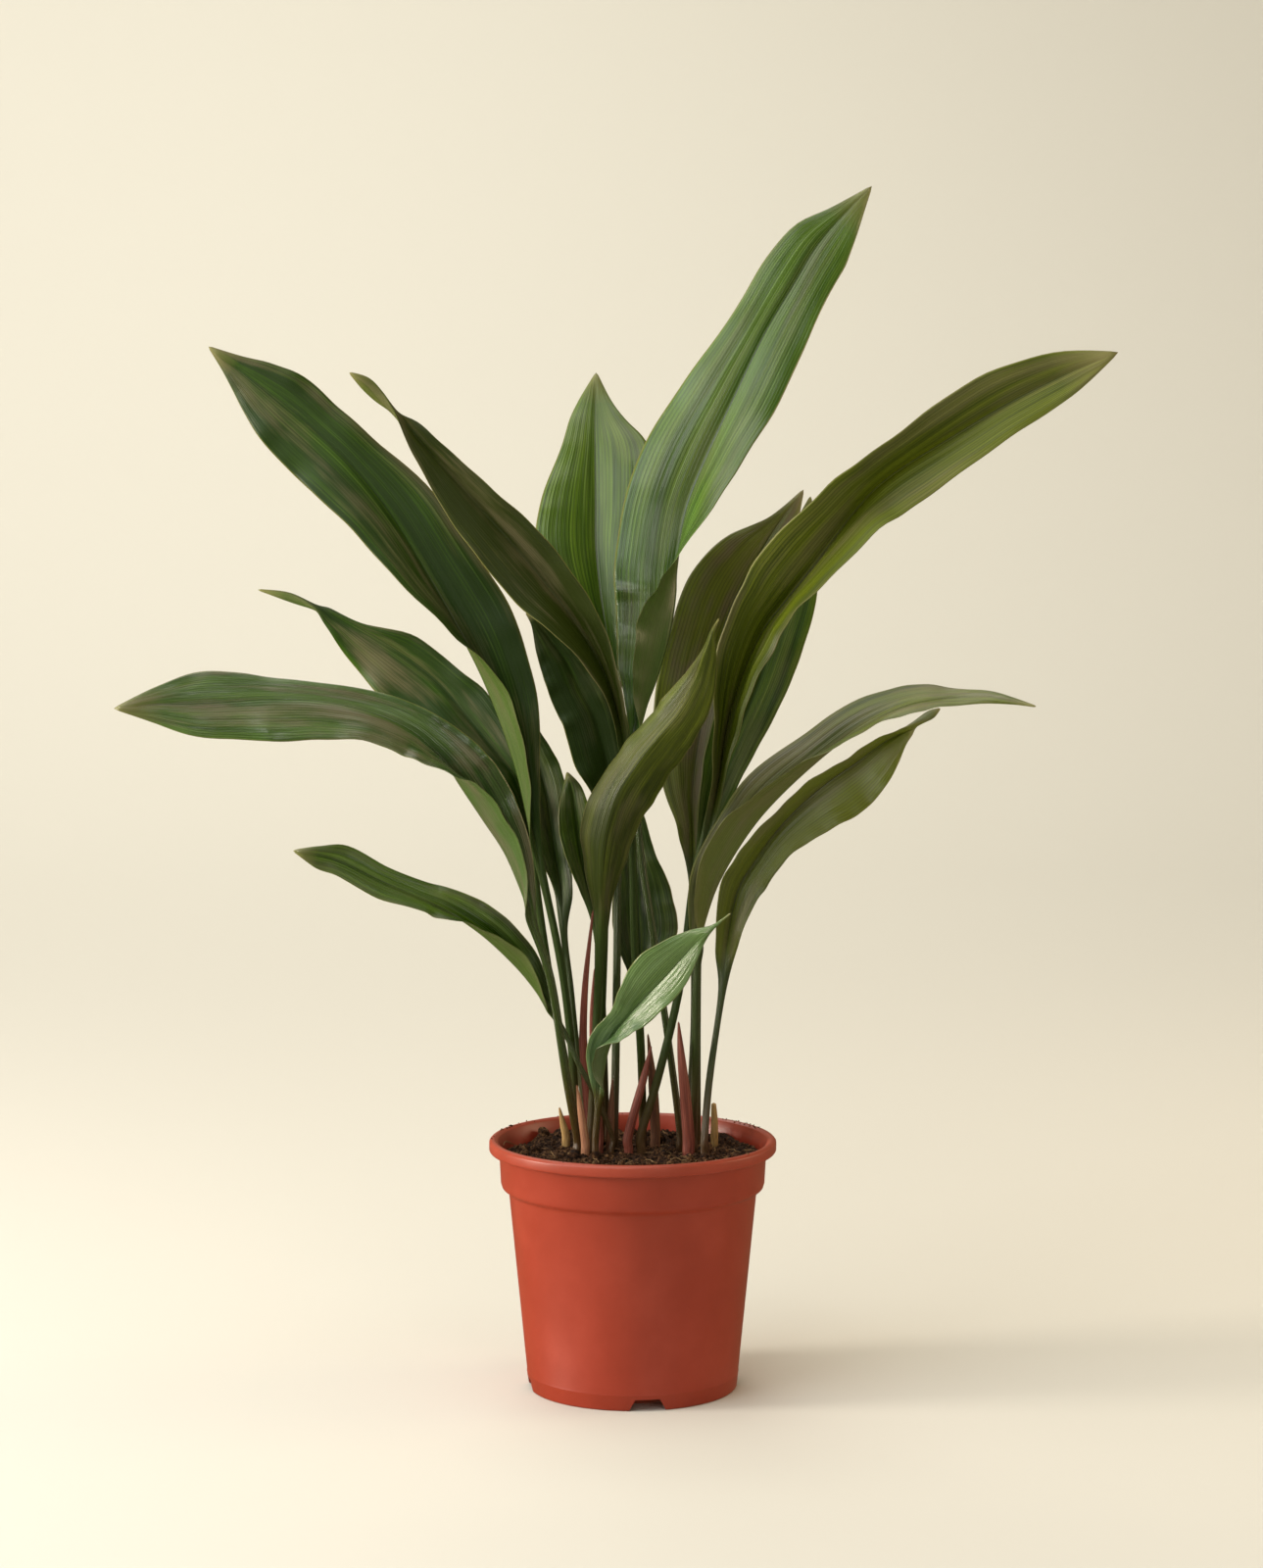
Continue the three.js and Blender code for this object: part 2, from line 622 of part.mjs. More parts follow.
function potSolid() {
  const outside = [
    [0, 0],
    [PAD_RADIUS, 0],
    [PAD_RADIUS + 2, FOOT_HEIGHT],
    [BASE_RADIUS - 2.4, FOOT_HEIGHT],
    [BASE_RADIUS - 2.2, 0],
    [BASE_RADIUS - 1, 0],
    [BASE_RADIUS - 0.2, 0.8],
    [BASE_RADIUS + 0.9, 9.5],
    [BODY_TOP_RADIUS, 115.5],
    [BODY_TOP_RADIUS + 0.8, 118],
    [COLLAR_RADIUS - 1.8, COLLAR_FOOT - 1],
    [COLLAR_RADIUS - 1, COLLAR_FOOT + 1.5],
    [COLLAR_RADIUS, POT_HEIGHT - LIP_HEIGHT],
    [RIM_RADIUS - 0.7, POT_HEIGHT - LIP_HEIGHT + 0.2],
    [RIM_RADIUS, POT_HEIGHT - LIP_HEIGHT + 1.2],
    [RIM_RADIUS, POT_HEIGHT - 1.6],
    [RIM_RADIUS - 1.2, POT_HEIGHT - 0.3],
    [RIM_RADIUS - 3, POT_HEIGHT],
  ];
  const outline = [...outside, ...INSIDE, [0, WALL]].map(([r, z]) => new THREE.Vector2(r, z));
  const lathe = new THREE.LatheGeometry(outline, POT_SIDES);
  lathe.rotateX(Math.PI / 2);
  let solid = toSolid(lathe);
  const notch = new THREE.Shape([
    new THREE.Vector2(-NOTCH_BOTTOM / 2, -1),
    new THREE.Vector2(NOTCH_BOTTOM / 2, -1),
    new THREE.Vector2(NOTCH_TOP / 2, NOTCH_HEIGHT),
    new THREE.Vector2(-NOTCH_TOP / 2, NOTCH_HEIGHT),
  ]);
  for (let i = 0; i < NOTCHES; i += 1) {
    const cut = new THREE.ExtrudeGeometry(notch, { depth: 12, bevelEnabled: false });
    cut.rotateX(Math.PI / 2);
    cut.translate(0, 1 - BASE_RADIUS + 8, 0);
    cut.rotateZ((NOTCH_TURN + (i * 360) / NOTCHES) * DEG);
    solid = solid.subtract(toSolid(cut));
  }
  for (let i = 0; i < DRAIN_HOLES; i += 1) {
    const a = ((i + 0.5) / DRAIN_HOLES) * 2 * Math.PI + NOTCH_TURN * DEG;
    const hole = new THREE.CylinderGeometry(DRAIN_RADIUS, DRAIN_RADIUS, 20, 12);
    hole.rotateX(Math.PI / 2);
    hole.translate(DRAIN_CIRCLE * Math.cos(a), DRAIN_CIRCLE * Math.sin(a), FOOT_HEIGHT);
    solid = solid.subtract(toSolid(hole));
  }
  return toGeometry(solid);
}

// The soil fills the pot to below its rim, with a lumpy top
const SOIL_SIDES = 30;
const SOIL_RINGS = [73, 62, 48, 32, 14];
function lumps(x, y) {
  const slow = Math.sin(x * 0.11 + 1.3) * Math.cos(y * 0.13 - 0.4);
  const quick = Math.sin(x * 0.37 + y * 0.21) * Math.cos(y * 0.33 - x * 0.12 + 2);
  return 1.1 * slow + 0.9 * quick;
}

function soilSolid() {
  const ringAt = (r, height) => {
    const ring = [];
    for (let k = 0; k < SOIL_SIDES; k += 1) {
      const a = (k / SOIL_SIDES) * 2 * Math.PI;
      const [x, y] = [r * Math.cos(a), r * Math.sin(a)];
      ring.push(new THREE.Vector3(x, y, height(x, y)));
    }
    return ring;
  };
  const shrink = 1 / Math.cos(Math.PI / POT_SIDES);
  const walls = INSIDE.slice(2).reverse();
  const rings = walls.map(([r, z]) => ringAt(r / shrink - CLEARANCE - 0.2, () => z + CLEARANCE));
  rings.push(ringAt(COLLAR_RADIUS - WALL - 1.4, () => SOIL_LEVEL - 2));
  for (const r of SOIL_RINGS) rings.push(ringAt(r, (x, y) => SOIL_LEVEL + lumps(x, y)));
  let solid = toSolid(skinOverRings(rings));
  solid = solid.subtract(toSolid(rhizomeSolid(CLEARANCE)));
  for (const rows of Object.values({ ...LEAVES, ...SHEATHS, ...STUBS })) {
    solid = solid.subtract(toSolid(stalkHole(rows)));
  }
  return toGeometry(solid);
}

addPiece('pot', potSolid(), 'pot');
addPiece('soil', soilSolid(), 'soil');
addPiece('rhizome', rhizomeSolid(0), 'rhizome');
for (const [name, rows] of Object.entries(LEAVES)) addPiece(name, leafSolid(rows), 'leaf');
for (const [name, rows] of Object.entries(SHEATHS)) addPiece(name, leafSolid(rows), 'sheath');
for (const [name, rows] of Object.entries(STUBS)) addPiece(name, leafSolid(rows), 'husk');

export default plant;
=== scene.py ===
from math import cos, pi, radians, sin, tau

import bpy
import numpy as np
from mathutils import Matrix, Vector, noise


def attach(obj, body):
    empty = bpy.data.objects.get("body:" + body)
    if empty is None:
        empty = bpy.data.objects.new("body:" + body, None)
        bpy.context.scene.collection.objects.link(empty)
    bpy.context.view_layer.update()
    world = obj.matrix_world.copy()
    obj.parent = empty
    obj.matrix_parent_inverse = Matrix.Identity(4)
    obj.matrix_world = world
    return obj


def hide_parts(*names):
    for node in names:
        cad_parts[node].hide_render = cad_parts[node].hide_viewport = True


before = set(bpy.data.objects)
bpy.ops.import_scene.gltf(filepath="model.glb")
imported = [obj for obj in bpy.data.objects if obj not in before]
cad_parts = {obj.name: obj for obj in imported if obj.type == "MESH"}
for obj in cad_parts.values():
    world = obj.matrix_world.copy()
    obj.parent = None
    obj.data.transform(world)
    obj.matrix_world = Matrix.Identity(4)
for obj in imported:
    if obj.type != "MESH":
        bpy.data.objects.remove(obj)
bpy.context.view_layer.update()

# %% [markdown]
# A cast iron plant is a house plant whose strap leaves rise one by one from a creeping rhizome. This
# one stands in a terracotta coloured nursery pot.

MM = 0.001
print("solids:", len(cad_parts))

# %% [markdown]
# The photograph was taken from the front, a little above the leaves' middle, with a long lens.
# The place and the tilt of the camera were worked out from the ellipses of the pot's rim and foot.
# Blender's own camera can be placed with no target, because its turn about X is 90 degrees less
# the tilt.

# %% Camera
CAMERA_PLACE = (-0.73 * MM, -2163 * MM, 567 * MM)
CAMERA_TILT = 5.48
bpy.ops.object.camera_add(location=CAMERA_PLACE, rotation=(radians(90 - CAMERA_TILT), 0, 0))
camera = bpy.context.object
camera.data.lens = 85
camera.data.sensor_width = 36
camera.data.clip_end = 60
bpy.context.scene.camera = camera
print("camera tilted down by", CAMERA_TILT, "degrees")

# %% [markdown]
# A material in Blender is a graph of nodes. One small function adds a node, sets its values and
# joins its inputs, so each material below reads as a list of steps. Colours are sRGB hex values, set
# and tuned until the mean tones of small squares came near those of the photograph. A shader
# works with linear light, so one function turns them round.

# %% Helpers for materials
def colour(hex_value):
    """The linear colour of an sRGB hex value."""
    parts = [int(hex_value[i:i + 2], 16) / 255 for i in (1, 3, 5)]
    return tuple(c / 12.92 if c <= 0.04045 else ((c + 0.055) / 1.055) ** 2.4 for c in parts) + (1,)


def set_stops(ramp, stops):
    """Gives a colour ramp its stops, as pairs of place and sRGB hex."""
    while len(ramp.elements) < len(stops):
        ramp.elements.new(0.5)
    for element, (place, hex_value) in zip(ramp.elements, stops):
        element.position = place
        element.color = colour(hex_value)


def add_node(material, kind, *values, output=None, stops=(), **more):
    """Adds a node, and gives its first output in use, or the one that is named.

    The values go to the inputs in use, in their order. A keyword with a capital is an input's name,
    and any other one is a setting. A value that is the output of another node is linked.
    """
    tree = material.node_tree
    node = tree.nodes.new("ShaderNode" + kind)
    for key, value in more.items():
        if key[0].islower():
            setattr(node, key, value)
    if stops:
        set_stops(node.color_ramp, stops)
    pairs = list(zip([socket for socket in node.inputs if socket.enabled], values))
    pairs += [(node.inputs[key.replace("_", " ")], value) for key, value in more.items() if key[0].isupper()]
    for socket, value in pairs:
        if isinstance(value, bpy.types.NodeSocket):
            tree.links.new(value, socket)
        else:
            socket.default_value = value
    return node.outputs[output] if output else next(socket for socket in node.outputs if socket.enabled)


def new_material(name):
    """An empty node material."""
    material = bpy.data.materials.new(name)
    material.use_nodes = True
    material.node_tree.nodes.clear()
    return material


def finish_material(material, shader):
    """Joins the shader to the material's output."""
    out = material.node_tree.nodes.new("ShaderNodeOutputMaterial")
    material.node_tree.links.new(shader, out.inputs["Surface"])
    print("material:", material.name)
    return material


# %% [markdown]
# Every turned piece here, the backdrop, the pot and the soil, starts as a circle whose edge is
# extruded, widened and raised step by step, as by hand. So one function does it for all of them.

# %% Helpers for shaping
def start_primitive(add, **settings):
    """Adds a primitive with nothing else selected, and opens it in edit mode."""
    bpy.ops.object.select_all(action="DESELECT")
    add(**settings)
    bpy.ops.object.mode_set(mode="EDIT")
    bpy.ops.mesh.select_all(action="SELECT")
    return bpy.context.object


def end_edit(obj, name):
    """Leaves edit mode, names the object and its mesh, and puts the place into the mesh."""
    bpy.ops.object.mode_set(mode="OBJECT")
    obj.name = obj.data.name = name
    bpy.ops.object.transform_apply(location=True, rotation=True, scale=True)
    return obj


def lathe(outline, sides, close_end=True):
    """A turned shape: a circle at the first radius and height, extruded to each of the others."""
    radius, height = outline[0]
    obj = start_primitive(bpy.ops.mesh.primitive_circle_add, vertices=sides, radius=radius,
                          location=(0, 0, height), fill_type="NGON")
    bpy.ops.object.mode_set(mode="OBJECT")
    bpy.ops.object.transform_apply(location=True, rotation=True, scale=True)
    bpy.ops.object.mode_set(mode="EDIT")
    bpy.ops.mesh.select_mode(type="EDGE")
    bpy.ops.mesh.select_all(action="DESELECT")
    bpy.ops.object.mode_set(mode="OBJECT")
    for edge in obj.data.edges:
        edge.select = True
    bpy.ops.object.mode_set(mode="EDIT")
    for r, z in outline[1:]:
        bpy.ops.mesh.extrude_edges_move()
        bpy.ops.transform.resize(value=(r / radius, r / radius, 1), center_override=(0, 0, height))
        bpy.ops.transform.translate(value=(0, 0, z - height))
        radius, height = r, z
    if close_end:
        bpy.ops.mesh.edge_face_add()
    bpy.ops.mesh.select_mode(type="VERT")
    bpy.ops.mesh.select_all(action="SELECT")
    return obj


# %% [markdown]
# A studio backdrop is a roll of paper that curves up behind the object, so that no corner or
# horizon shows. Here it is a wide round floor with a rim that curves up all round, so it works
# from every side. Its sizes are in metres. A studio is dark on the camera's side, and a pale bowl
# all round would lay a grey veil on every leaf, so it lights the plant but isn't mirrored in it.

# %% Backdrop
FLOOR_RINGS = (0.4, 1, 1.8)
FLOOR_RADIUS = 2.6
CURVE_RADIUS = 3.7
BACKDROP_HEIGHT = 4.0
bowl = [(r, 0) for r in (*FLOOR_RINGS, FLOOR_RADIUS)]
for degrees in range(5, 91, 5):
    angle = radians(degrees)
    bowl.append((FLOOR_RADIUS + CURVE_RADIUS * sin(angle), CURVE_RADIUS * (1 - cos(angle))))
bowl.append((FLOOR_RADIUS + CURVE_RADIUS, BACKDROP_HEIGHT))
backdrop = lathe(bowl, 96, close_end=False)
bpy.ops.mesh.normals_make_consistent(inside=True)
end_edit(backdrop, "backdrop")
bpy.ops.object.shade_smooth()
backdrop.visible_glossy = False

paper = new_material("cream_paper_roll")
paper_shader = add_node(paper, "BsdfPrincipled", Base_Color=colour("#dcddd5"), Roughness=0.95,
                        Specular_IOR_Level=0.1)
backdrop.data.materials.append(finish_material(paper, paper_shader))

# %% [markdown]
# The light is soft daylight from the front left: a large area light, so that the shadow on the
# floor has no hard edge. A low box on the left draws the satin band on the pot. Three small
# boxes round the camera draw the sheen on the leaves that face it, and a warm reflector on the
# right draws the thin light edge of the pot. The skylight lights the soil and the floor, one lamp
# evens out the back of the paper, and a warm world fills the shadows. Each lamp has its place and
# target in metres, then its size, its power in watts and its colour.

# %% Lights
LAMPS = {
    "window": ((-2.2, -1.5, 1.9), (0, 0, 0.35), 2.3, 41, "#f6f8ff"),
    "side_box": ((-1.9, -0.3, 0.5), (0, 0, 0.15), 0.45, 36, "#fff2e2"),
    "front_box_left": ((-0.45, -2.3, 1.2), (0, 0, 0.45), 0.5, 3.2, "#fffcf4"),
    "front_box_right": ((0.8, -2.25, 0.75), (0, 0, 0.4), 0.5, 4, "#fffcf4"),
    "top_front_box": ((-0.5, -1.7, 1.9), (0, 0, 0.5), 0.6, 4, "#fffcf4"),
    "reflector": ((1.8, 0.3, 0.7), (0, 0, 0.1), 0.8, 9, "#ffe0b8"),
    "skylight": ((-0.5, -0.1, 3.1), (0, 0.2, 0), 2.6, 50, "#fff8ee"),
    "backdrop_light": ((-0.9, 3.2, 3.3), (-0.9, 4.6, 0.0), 2.6, 92, "#fff8ee"),
}
for name, (place, target, size, watts, hex_value) in LAMPS.items():
    bpy.ops.object.light_add(type="AREA", location=place)
    lamp = bpy.context.object
    lamp.name = name
    lamp.data.shape = "SQUARE"
    lamp.data.size = size
    lamp.data.energy = watts
    lamp.data.color = colour(hex_value)[:3]
    lamp.rotation_euler = (Vector(target) - Vector(place)).to_track_quat("-Z", "Y").to_euler()
print("lamps:", len(LAMPS))

world = bpy.data.worlds.new("pale_room")
world.use_nodes = True
background = world.node_tree.nodes["Background"]
background.inputs["Color"].default_value = colour("#ffdca8")
background.inputs["Strength"].default_value = 0.2
bpy.context.scene.world = world
bpy.context.scene.view_settings.view_transform = "Standard"

# %% [markdown]
# A leaf's finish follows the leaf, not the room, so the leaf meshes below carry four numbers at
# each point: across (-1 at the left margin, 0 at the midrib, 1 at the right margin), along (0 at
# the foot, 1 at the tip), under (1 on the underside) and blade (0 on the stalk). Five more are
# the same all over a leaf: its tone (below 0 is darker), its pale wash (greyish, partly wax bloom
# and partly painted sheen), its polish, its taupe sheen strength (how strong the taupe patches of
# painted reflection are) and its seed. The material reads them as attributes.

# %% Numbers and patterns of a leaf
LEAF_NUMBERS = ("across", "along", "under", "blade", "tone", "pale_wash", "polish", "taupe_sheen_strength", "seed")


def carried(m, names):
    """The numbers of these names that the mesh carries at each point."""
    return {name: add_node(m, "Attribute", attribute_name=name, output="Fac") for name in names}


def leaf_noise(m, leaf, times_across, times_along, detail, roughness=0.6):
    """Noise that follows the leaf: so many times across a wing and along the leaf."""
    x = add_node(m, "Math", leaf["across"], times_across, operation="MULTIPLY")
    y = add_node(m, "Math", leaf["along"], times_along, operation="MULTIPLY")
    place = add_node(m, "CombineXYZ", x, y, leaf["seed"])
    return add_node(m, "TexNoise", place, Scale=1.0, Detail=detail, Roughness=roughness)


def ripple(m, wing, times):
    """1 on each of so many lines along the wing, 0 between them."""
    turn = add_node(m, "Math", wing, times * tau, operation="MULTIPLY")
    wave = add_node(m, "Math", turn, operation="COSINE")
    return add_node(m, "Math", wave, 0.5, 0.5, operation="MULTIPLY_ADD")


print("numbers that a leaf carries:", *LEAF_NUMBERS)

# %% [markdown]
# The upper side of an aspidistra blade is deep green, with lighter streaks along the leaf and soft
# bands. It is painted darker towards the stalk, as shade where the other leaves keep the light off.
# Taupe patches are a painted reflection of the warm room at a glancing angle, and some leaves have
# a grey wash that is partly wax bloom and partly painted sheen. The underside is paler. Noise
# stretched along the leaf gives the streaks and the bands, and each patch is blended in by a factor
# of its own.

# %% Green of the blade
# The taupe is a painted reflection of the warm room, seen at a glancing angle.
TAUPE_REFLECTION = "#6e6448"
# The grey is partly a wax bloom and partly a painted sheen.
WAX_BLOOM_AND_SHEEN = "#7a8f78"


def blade_green(m, leaf, streaks, bands, taupe_sheen, dark, middle, light, under):
    """The colour of the blade, before its veins."""
    tone = add_node(m, "Math", streaks, bands, operation="ADD")
    tone = add_node(m, "Math", tone, 0.5, operation="MULTIPLY")
    # Painted shade: the blade is darker towards the stalk, where other leaves keep the light off.
    painted_shade_near_stalk = add_node(m, "MapRange", leaf["along"], 0.4, 0.75, -0.13, 0.02)
    own_tone = add_node(m, "Math", leaf["tone"], painted_shade_near_stalk, operation="ADD")
    tone = add_node(m, "Math", tone, own_tone, operation="ADD")
    top = add_node(m, "ValToRGB", tone, stops=[(0.36, dark), (0.5, middle), (0.66, light)])

    streaked = add_node(m, "Math", streaks, 0.6, operation="MULTIPLY")
    bottom = add_node(m, "Mix", streaked, colour(under), colour(middle), data_type="RGBA")
    face = add_node(m, "Mix", leaf["under"], top, bottom, data_type="RGBA")
    face = add_node(m, "Mix", taupe_sheen, face, colour(TAUPE_REFLECTION), data_type="RGBA")
    # Painted sheen: the grey wash lightens the leaves that shine, and is partly a wax bloom.
    wax_and_sheen = add_node(m, "Math", bands, 1.2, -0.1, operation="MULTIPLY_ADD")
    wax_and_sheen = add_node(m, "Math", leaf["pale_wash"], wax_and_sheen, operation="MULTIPLY")
    return add_node(m, "Mix", wax_and_sheen, face, colour(WAX_BLOOM_AND_SHEEN), data_type="RGBA")


# %% [markdown]
# The veins run lengthwise, side by side, so they are cosines of the place across the wing: coarse
# ones and fine ones. A wing is up to 37 mm wide, so the coarse veins lie about 2.5 mm apart and the
# fine ones 1 mm, which is as fine as shows in the picture. The midrib's groove is painted dark, as
# the shade that falls in it, and the margin and the tip are dry.

# %% Veins, stalk and dry tip
VEINS_PER_WING = 15
FINE_VEINS_PER_WING = 36
DRY_TIP = "#8e8852"
STALK_GREENS = [(0.3, "#162404"), (0.5, "#283e0c"), (0.72, "#46561c")]
FOOT_BROWNS = [(0.3, "#32190e"), (0.5, "#502e1a"), (0.7, "#6a4a28")]


def with_veins(m, wing, vein, fine, face, dark):
    """The face with its fine dark lines, painted shade in its midrib groove and its thin pale margin."""
    lines = add_node(m, "Math", vein, 5.0, operation="POWER")
    lines = add_node(m, "Math", lines, 0.5, operation="MULTIPLY")
    fine_lines = add_node(m, "Math", fine, 3.0, operation="POWER")
    lines = add_node(m, "Math", fine_lines, 0.22, lines, operation="MULTIPLY_ADD")
    face = add_node(m, "Mix", lines, face, colour(dark), data_type="RGBA")
    # Painted shade: the midrib's groove is darkened.
    groove = add_node(m, "MapRange", wing, 0.008, 0.03, 0.7, 0.0)
    face = add_node(m, "Mix", groove, face, colour(dark), data_type="RGBA")
    margin = add_node(m, "MapRange", wing, 0.97, 1.0, 0.0, 0.65)
    return add_node(m, "Mix", margin, face, colour(DRY_TIP), data_type="RGBA")


def with_stalk(m, leaf, streaks, face):
    """The face, and the stalk: dull green to brown green, and brown where it leaves the soil."""
    room = add_node(m, "TexCoord", output="Object")
    height = add_node(m, "SeparateXYZ", room, output="Z")
    stalk = add_node(m, "ValToRGB", streaks, stops=STALK_GREENS)
    base = add_node(m, "ValToRGB", streaks, stops=FOOT_BROWNS)
    near_soil = add_node(m, "MapRange", height, 140 * MM, 200 * MM, 0.8, 0.0)
    stalk = add_node(m, "Mix", near_soil, stalk, base, data_type="RGBA")
    narrow = add_node(m, "MapRange", leaf["blade"], 0.05, 0.8, 1.0, 0.0)
    low = add_node(m, "MapRange", leaf["along"], 0.7, 0.8, 1.0, 0.0)
    stalk_share = add_node(m, "Math", narrow, low, operation="MULTIPLY")
    skin = add_node(m, "Mix", stalk_share, face, stalk, data_type="RGBA")
    tip = add_node(m, "MapRange", leaf["along"], 0.94, 1.0, 0.0, 0.7)
    return add_node(m, "Mix", tip, skin, colour(DRY_TIP), data_type="RGBA")


# %% [markdown]
# The ribs break the leaf's sheen into streaks, and the underside is duller. So the same noise that
# colours the leaf also gives its relief and its roughness, and they fit each other.

# %% Relief and gloss of a leaf
LEAF_RELIEF = 0.4 * MM


def leaf_relief(m, leaf, streaks, vein, fine):
    """The relief of the veins, and of the unevenness between them."""
    vein_height = add_node(m, "Math", vein, 0.3, operation="MULTIPLY")
    fine_height = add_node(m, "Math", fine, 0.2, operation="MULTIPLY")
    height = add_node(m, "Math", vein_height, fine_height, operation="ADD")
    height = add_node(m, "Math", streaks, 0.9, height, operation="MULTIPLY_ADD")
    broad = leaf_noise(m, leaf, 6.0, 3.0, 1.0)
    height = add_node(m, "Math", broad, 2.4, height, operation="MULTIPLY_ADD")
    return add_node(m, "Bump", Height=height, Strength=0.45, Distance=LEAF_RELIEF)


def leaf_roughness(m, leaf, streaks, taupe_sheen, roughness):
    """Rougher in the streaks, below and in the taupe patches of painted reflection, and smoother on a
    polished leaf.
    """
    rough = add_node(m, "Math", streaks, 0.16, roughness - 0.08, operation="MULTIPLY_ADD")
    rough = add_node(m, "Math", leaf["under"], 0.1, rough, operation="MULTIPLY_ADD")
    rough = add_node(m, "Math", taupe_sheen, 0.16, rough, operation="MULTIPLY_ADD")
    rough = add_node(m, "Math", rough, 0.07, operation="ADD")
    return add_node(m, "Math", leaf["polish"], -0.09, rough, operation="MULTIPLY_ADD")


# %% [markdown]
# Now the parts are put together: waxy ribbed foliage in four finishes. The gloss is that of a
# plant wax, with an IOR of 1.48, and polished leaves mirror more than dull ones and have a thin coat.

# %% Leaf material
STREAKS_ACROSS = 34
STREAKS_ALONG = 4
PATCHES_ACROSS = 1.7
PATCHES_ALONG = 6
PATCH_SEED = 40.0


def wax_leaf(name, dark, middle, light, under, roughness):
    """Waxy ribbed foliage: dark, middle and light are the upper side's tones."""
    m = new_material(name)
    leaf = carried(m, LEAF_NUMBERS)
    wing = add_node(m, "Math", leaf["across"], operation="ABSOLUTE")
    streaks = leaf_noise(m, leaf, STREAKS_ACROSS, STREAKS_ALONG, 4.0)
    bands = leaf_noise(m, leaf, 4.0, 5.0, 2.0)
    vein = ripple(m, wing, VEINS_PER_WING)
    fine = ripple(m, wing, FINE_VEINS_PER_WING)

    other_seed = add_node(m, "Math", leaf["seed"], PATCH_SEED, operation="ADD")
    patches = leaf_noise(m, {**leaf, "seed": other_seed}, PATCHES_ACROSS, PATCHES_ALONG, 3.0)
    # Painted reflection: taupe patches where the leaf mirrors the warm room at a glancing angle.
    taupe_sheen = add_node(m, "Math", streaks, 0.25, patches, operation="MULTIPLY_ADD")
    taupe_sheen = add_node(m, "MapRange", taupe_sheen, 0.6, 0.78, 0.0, 0.6)
    taupe_sheen = add_node(m, "Math", taupe_sheen, leaf["taupe_sheen_strength"], operation="MULTIPLY")

    face = blade_green(m, leaf, streaks, bands, taupe_sheen, dark, middle, light, under)
    face = with_veins(m, wing, vein, fine, face, dark)
    mirror = add_node(m, "Math", leaf["polish"], 0.32, 0.5, operation="MULTIPLY_ADD")
    coat = add_node(m, "MapRange", leaf["polish"], -0.5, 1.0, 0.0, 0.22)
    shader = add_node(m, "BsdfPrincipled", Base_Color=with_stalk(m, leaf, streaks, face), IOR=1.48,
                      Roughness=leaf_roughness(m, leaf, streaks, taupe_sheen, roughness),
                      Normal=leaf_relief(m, leaf, streaks, vein, fine),
                      Specular_IOR_Level=mirror, Coat_Weight=coat, Coat_Roughness=0.2)
    return finish_material(m, shader)


LEAF_FINISHES = {
    "fresh": wax_leaf("waxy_leaf_fresh", "#1d3400", "#375604", "#5a7a14", "#52682a", 0.26),
    "olive": wax_leaf("waxy_leaf_olive", "#283402", "#465206", "#667214", "#5c6a22", 0.29),
    "bluish": wax_leaf("waxy_leaf_bluish", "#1c3800", "#36580e", "#5a7c28", "#4e682a", 0.22),
    # The dark finish is a darker copy of the fresh green: painted shade, for the inner leaves that the outer
    # ones shade.
    "dark": wax_leaf("waxy_leaf_painted_shade", "#182a00", "#2e4602", "#4e640e", "#455816", 0.29),
}

# %% [markdown]
# The scales at the foot of the stalks are thin dry sheaths, purple brown when young and straw
# coloured when old. They are papery: dull, and fibrous lengthwise.

# %% Scale and husk material
FIBRES_ACROSS = 14.0
FIBRES_ALONG = 4.0


def papery(name, dark, middle, light, roughness):
    """Dry plant fibre that runs lengthwise."""
    m = new_material(name)
    scale = carried(m, ("across", "along", "seed"))
    fibre = leaf_noise(m, scale, FIBRES_ACROSS, FIBRES_ALONG, 5.0, 0.65)
    tint = add_node(m, "ValToRGB", fibre, stops=[(0.32, dark), (0.5, middle), (0.7, light)])
    relief = add_node(m, "Bump", Height=fibre, Strength=0.7, Distance=0.5 * MM)
    return finish_material(m, add_node(m, "BsdfPrincipled", Base_Color=tint, Roughness=roughness,
                                       Normal=relief))


SCALE_FINISHES = {
    "red": papery("dry_scale_red", "#481a12", "#783a2a", "#a25a48", 0.45),
    "pale": papery("dry_scale_pale", "#70402c", "#a06c4c", "#c49a70", 0.65),
    "brown": papery("dry_scale_brown", "#3c2014", "#684028", "#94683c", 0.6),
    "straw": papery("dry_straw", "#74562f", "#ac884f", "#d4b880", 0.8),
}

# %% [markdown]
# The pot is injection moulded polypropylene in a terracotta colour. Polypropylene is waxy and
# half matt, and the mould leaves a faint grain, about 0.4 mm, that breaks up the gloss. Soil dust
# has settled on the lip, and the colour is a little uneven, in clouds of about 45 mm.

# %% Pot material
GRAIN = 0.4 * MM
CLOUD = 45 * MM
SPECK = 3.8 * MM
CLOUD_TONES = [(0.3, "#92321d"), (0.5, "#993621"), (0.7, "#a13c27")]
plastic = new_material("moulded_polypropylene_terracotta")
room = add_node(plastic, "TexCoord", output="Object")
grain = add_node(plastic, "TexNoise", room, Scale=1 / GRAIN, Detail=2.0, Roughness=0.5)
clouds = add_node(plastic, "TexNoise", room, Scale=1 / CLOUD, Detail=4.0, Roughness=0.6)
specks = add_node(plastic, "TexNoise", room, Scale=1 / SPECK, Detail=5.0, Roughness=0.7)
tint = add_node(plastic, "ValToRGB", clouds, stops=CLOUD_TONES)
pot_height = add_node(plastic, "SeparateXYZ", room, output="Z")
dusty_height = add_node(plastic, "MapRange", pot_height, 140.5 * MM, 149 * MM)
speck_mask = add_node(plastic, "MapRange", specks, 0.6, 0.72, 0.0, 0.55)
dust = add_node(plastic, "Math", dusty_height, speck_mask, operation="MULTIPLY")
tint = add_node(plastic, "Mix", dust, tint, colour("#4a3226"), data_type="RGBA")
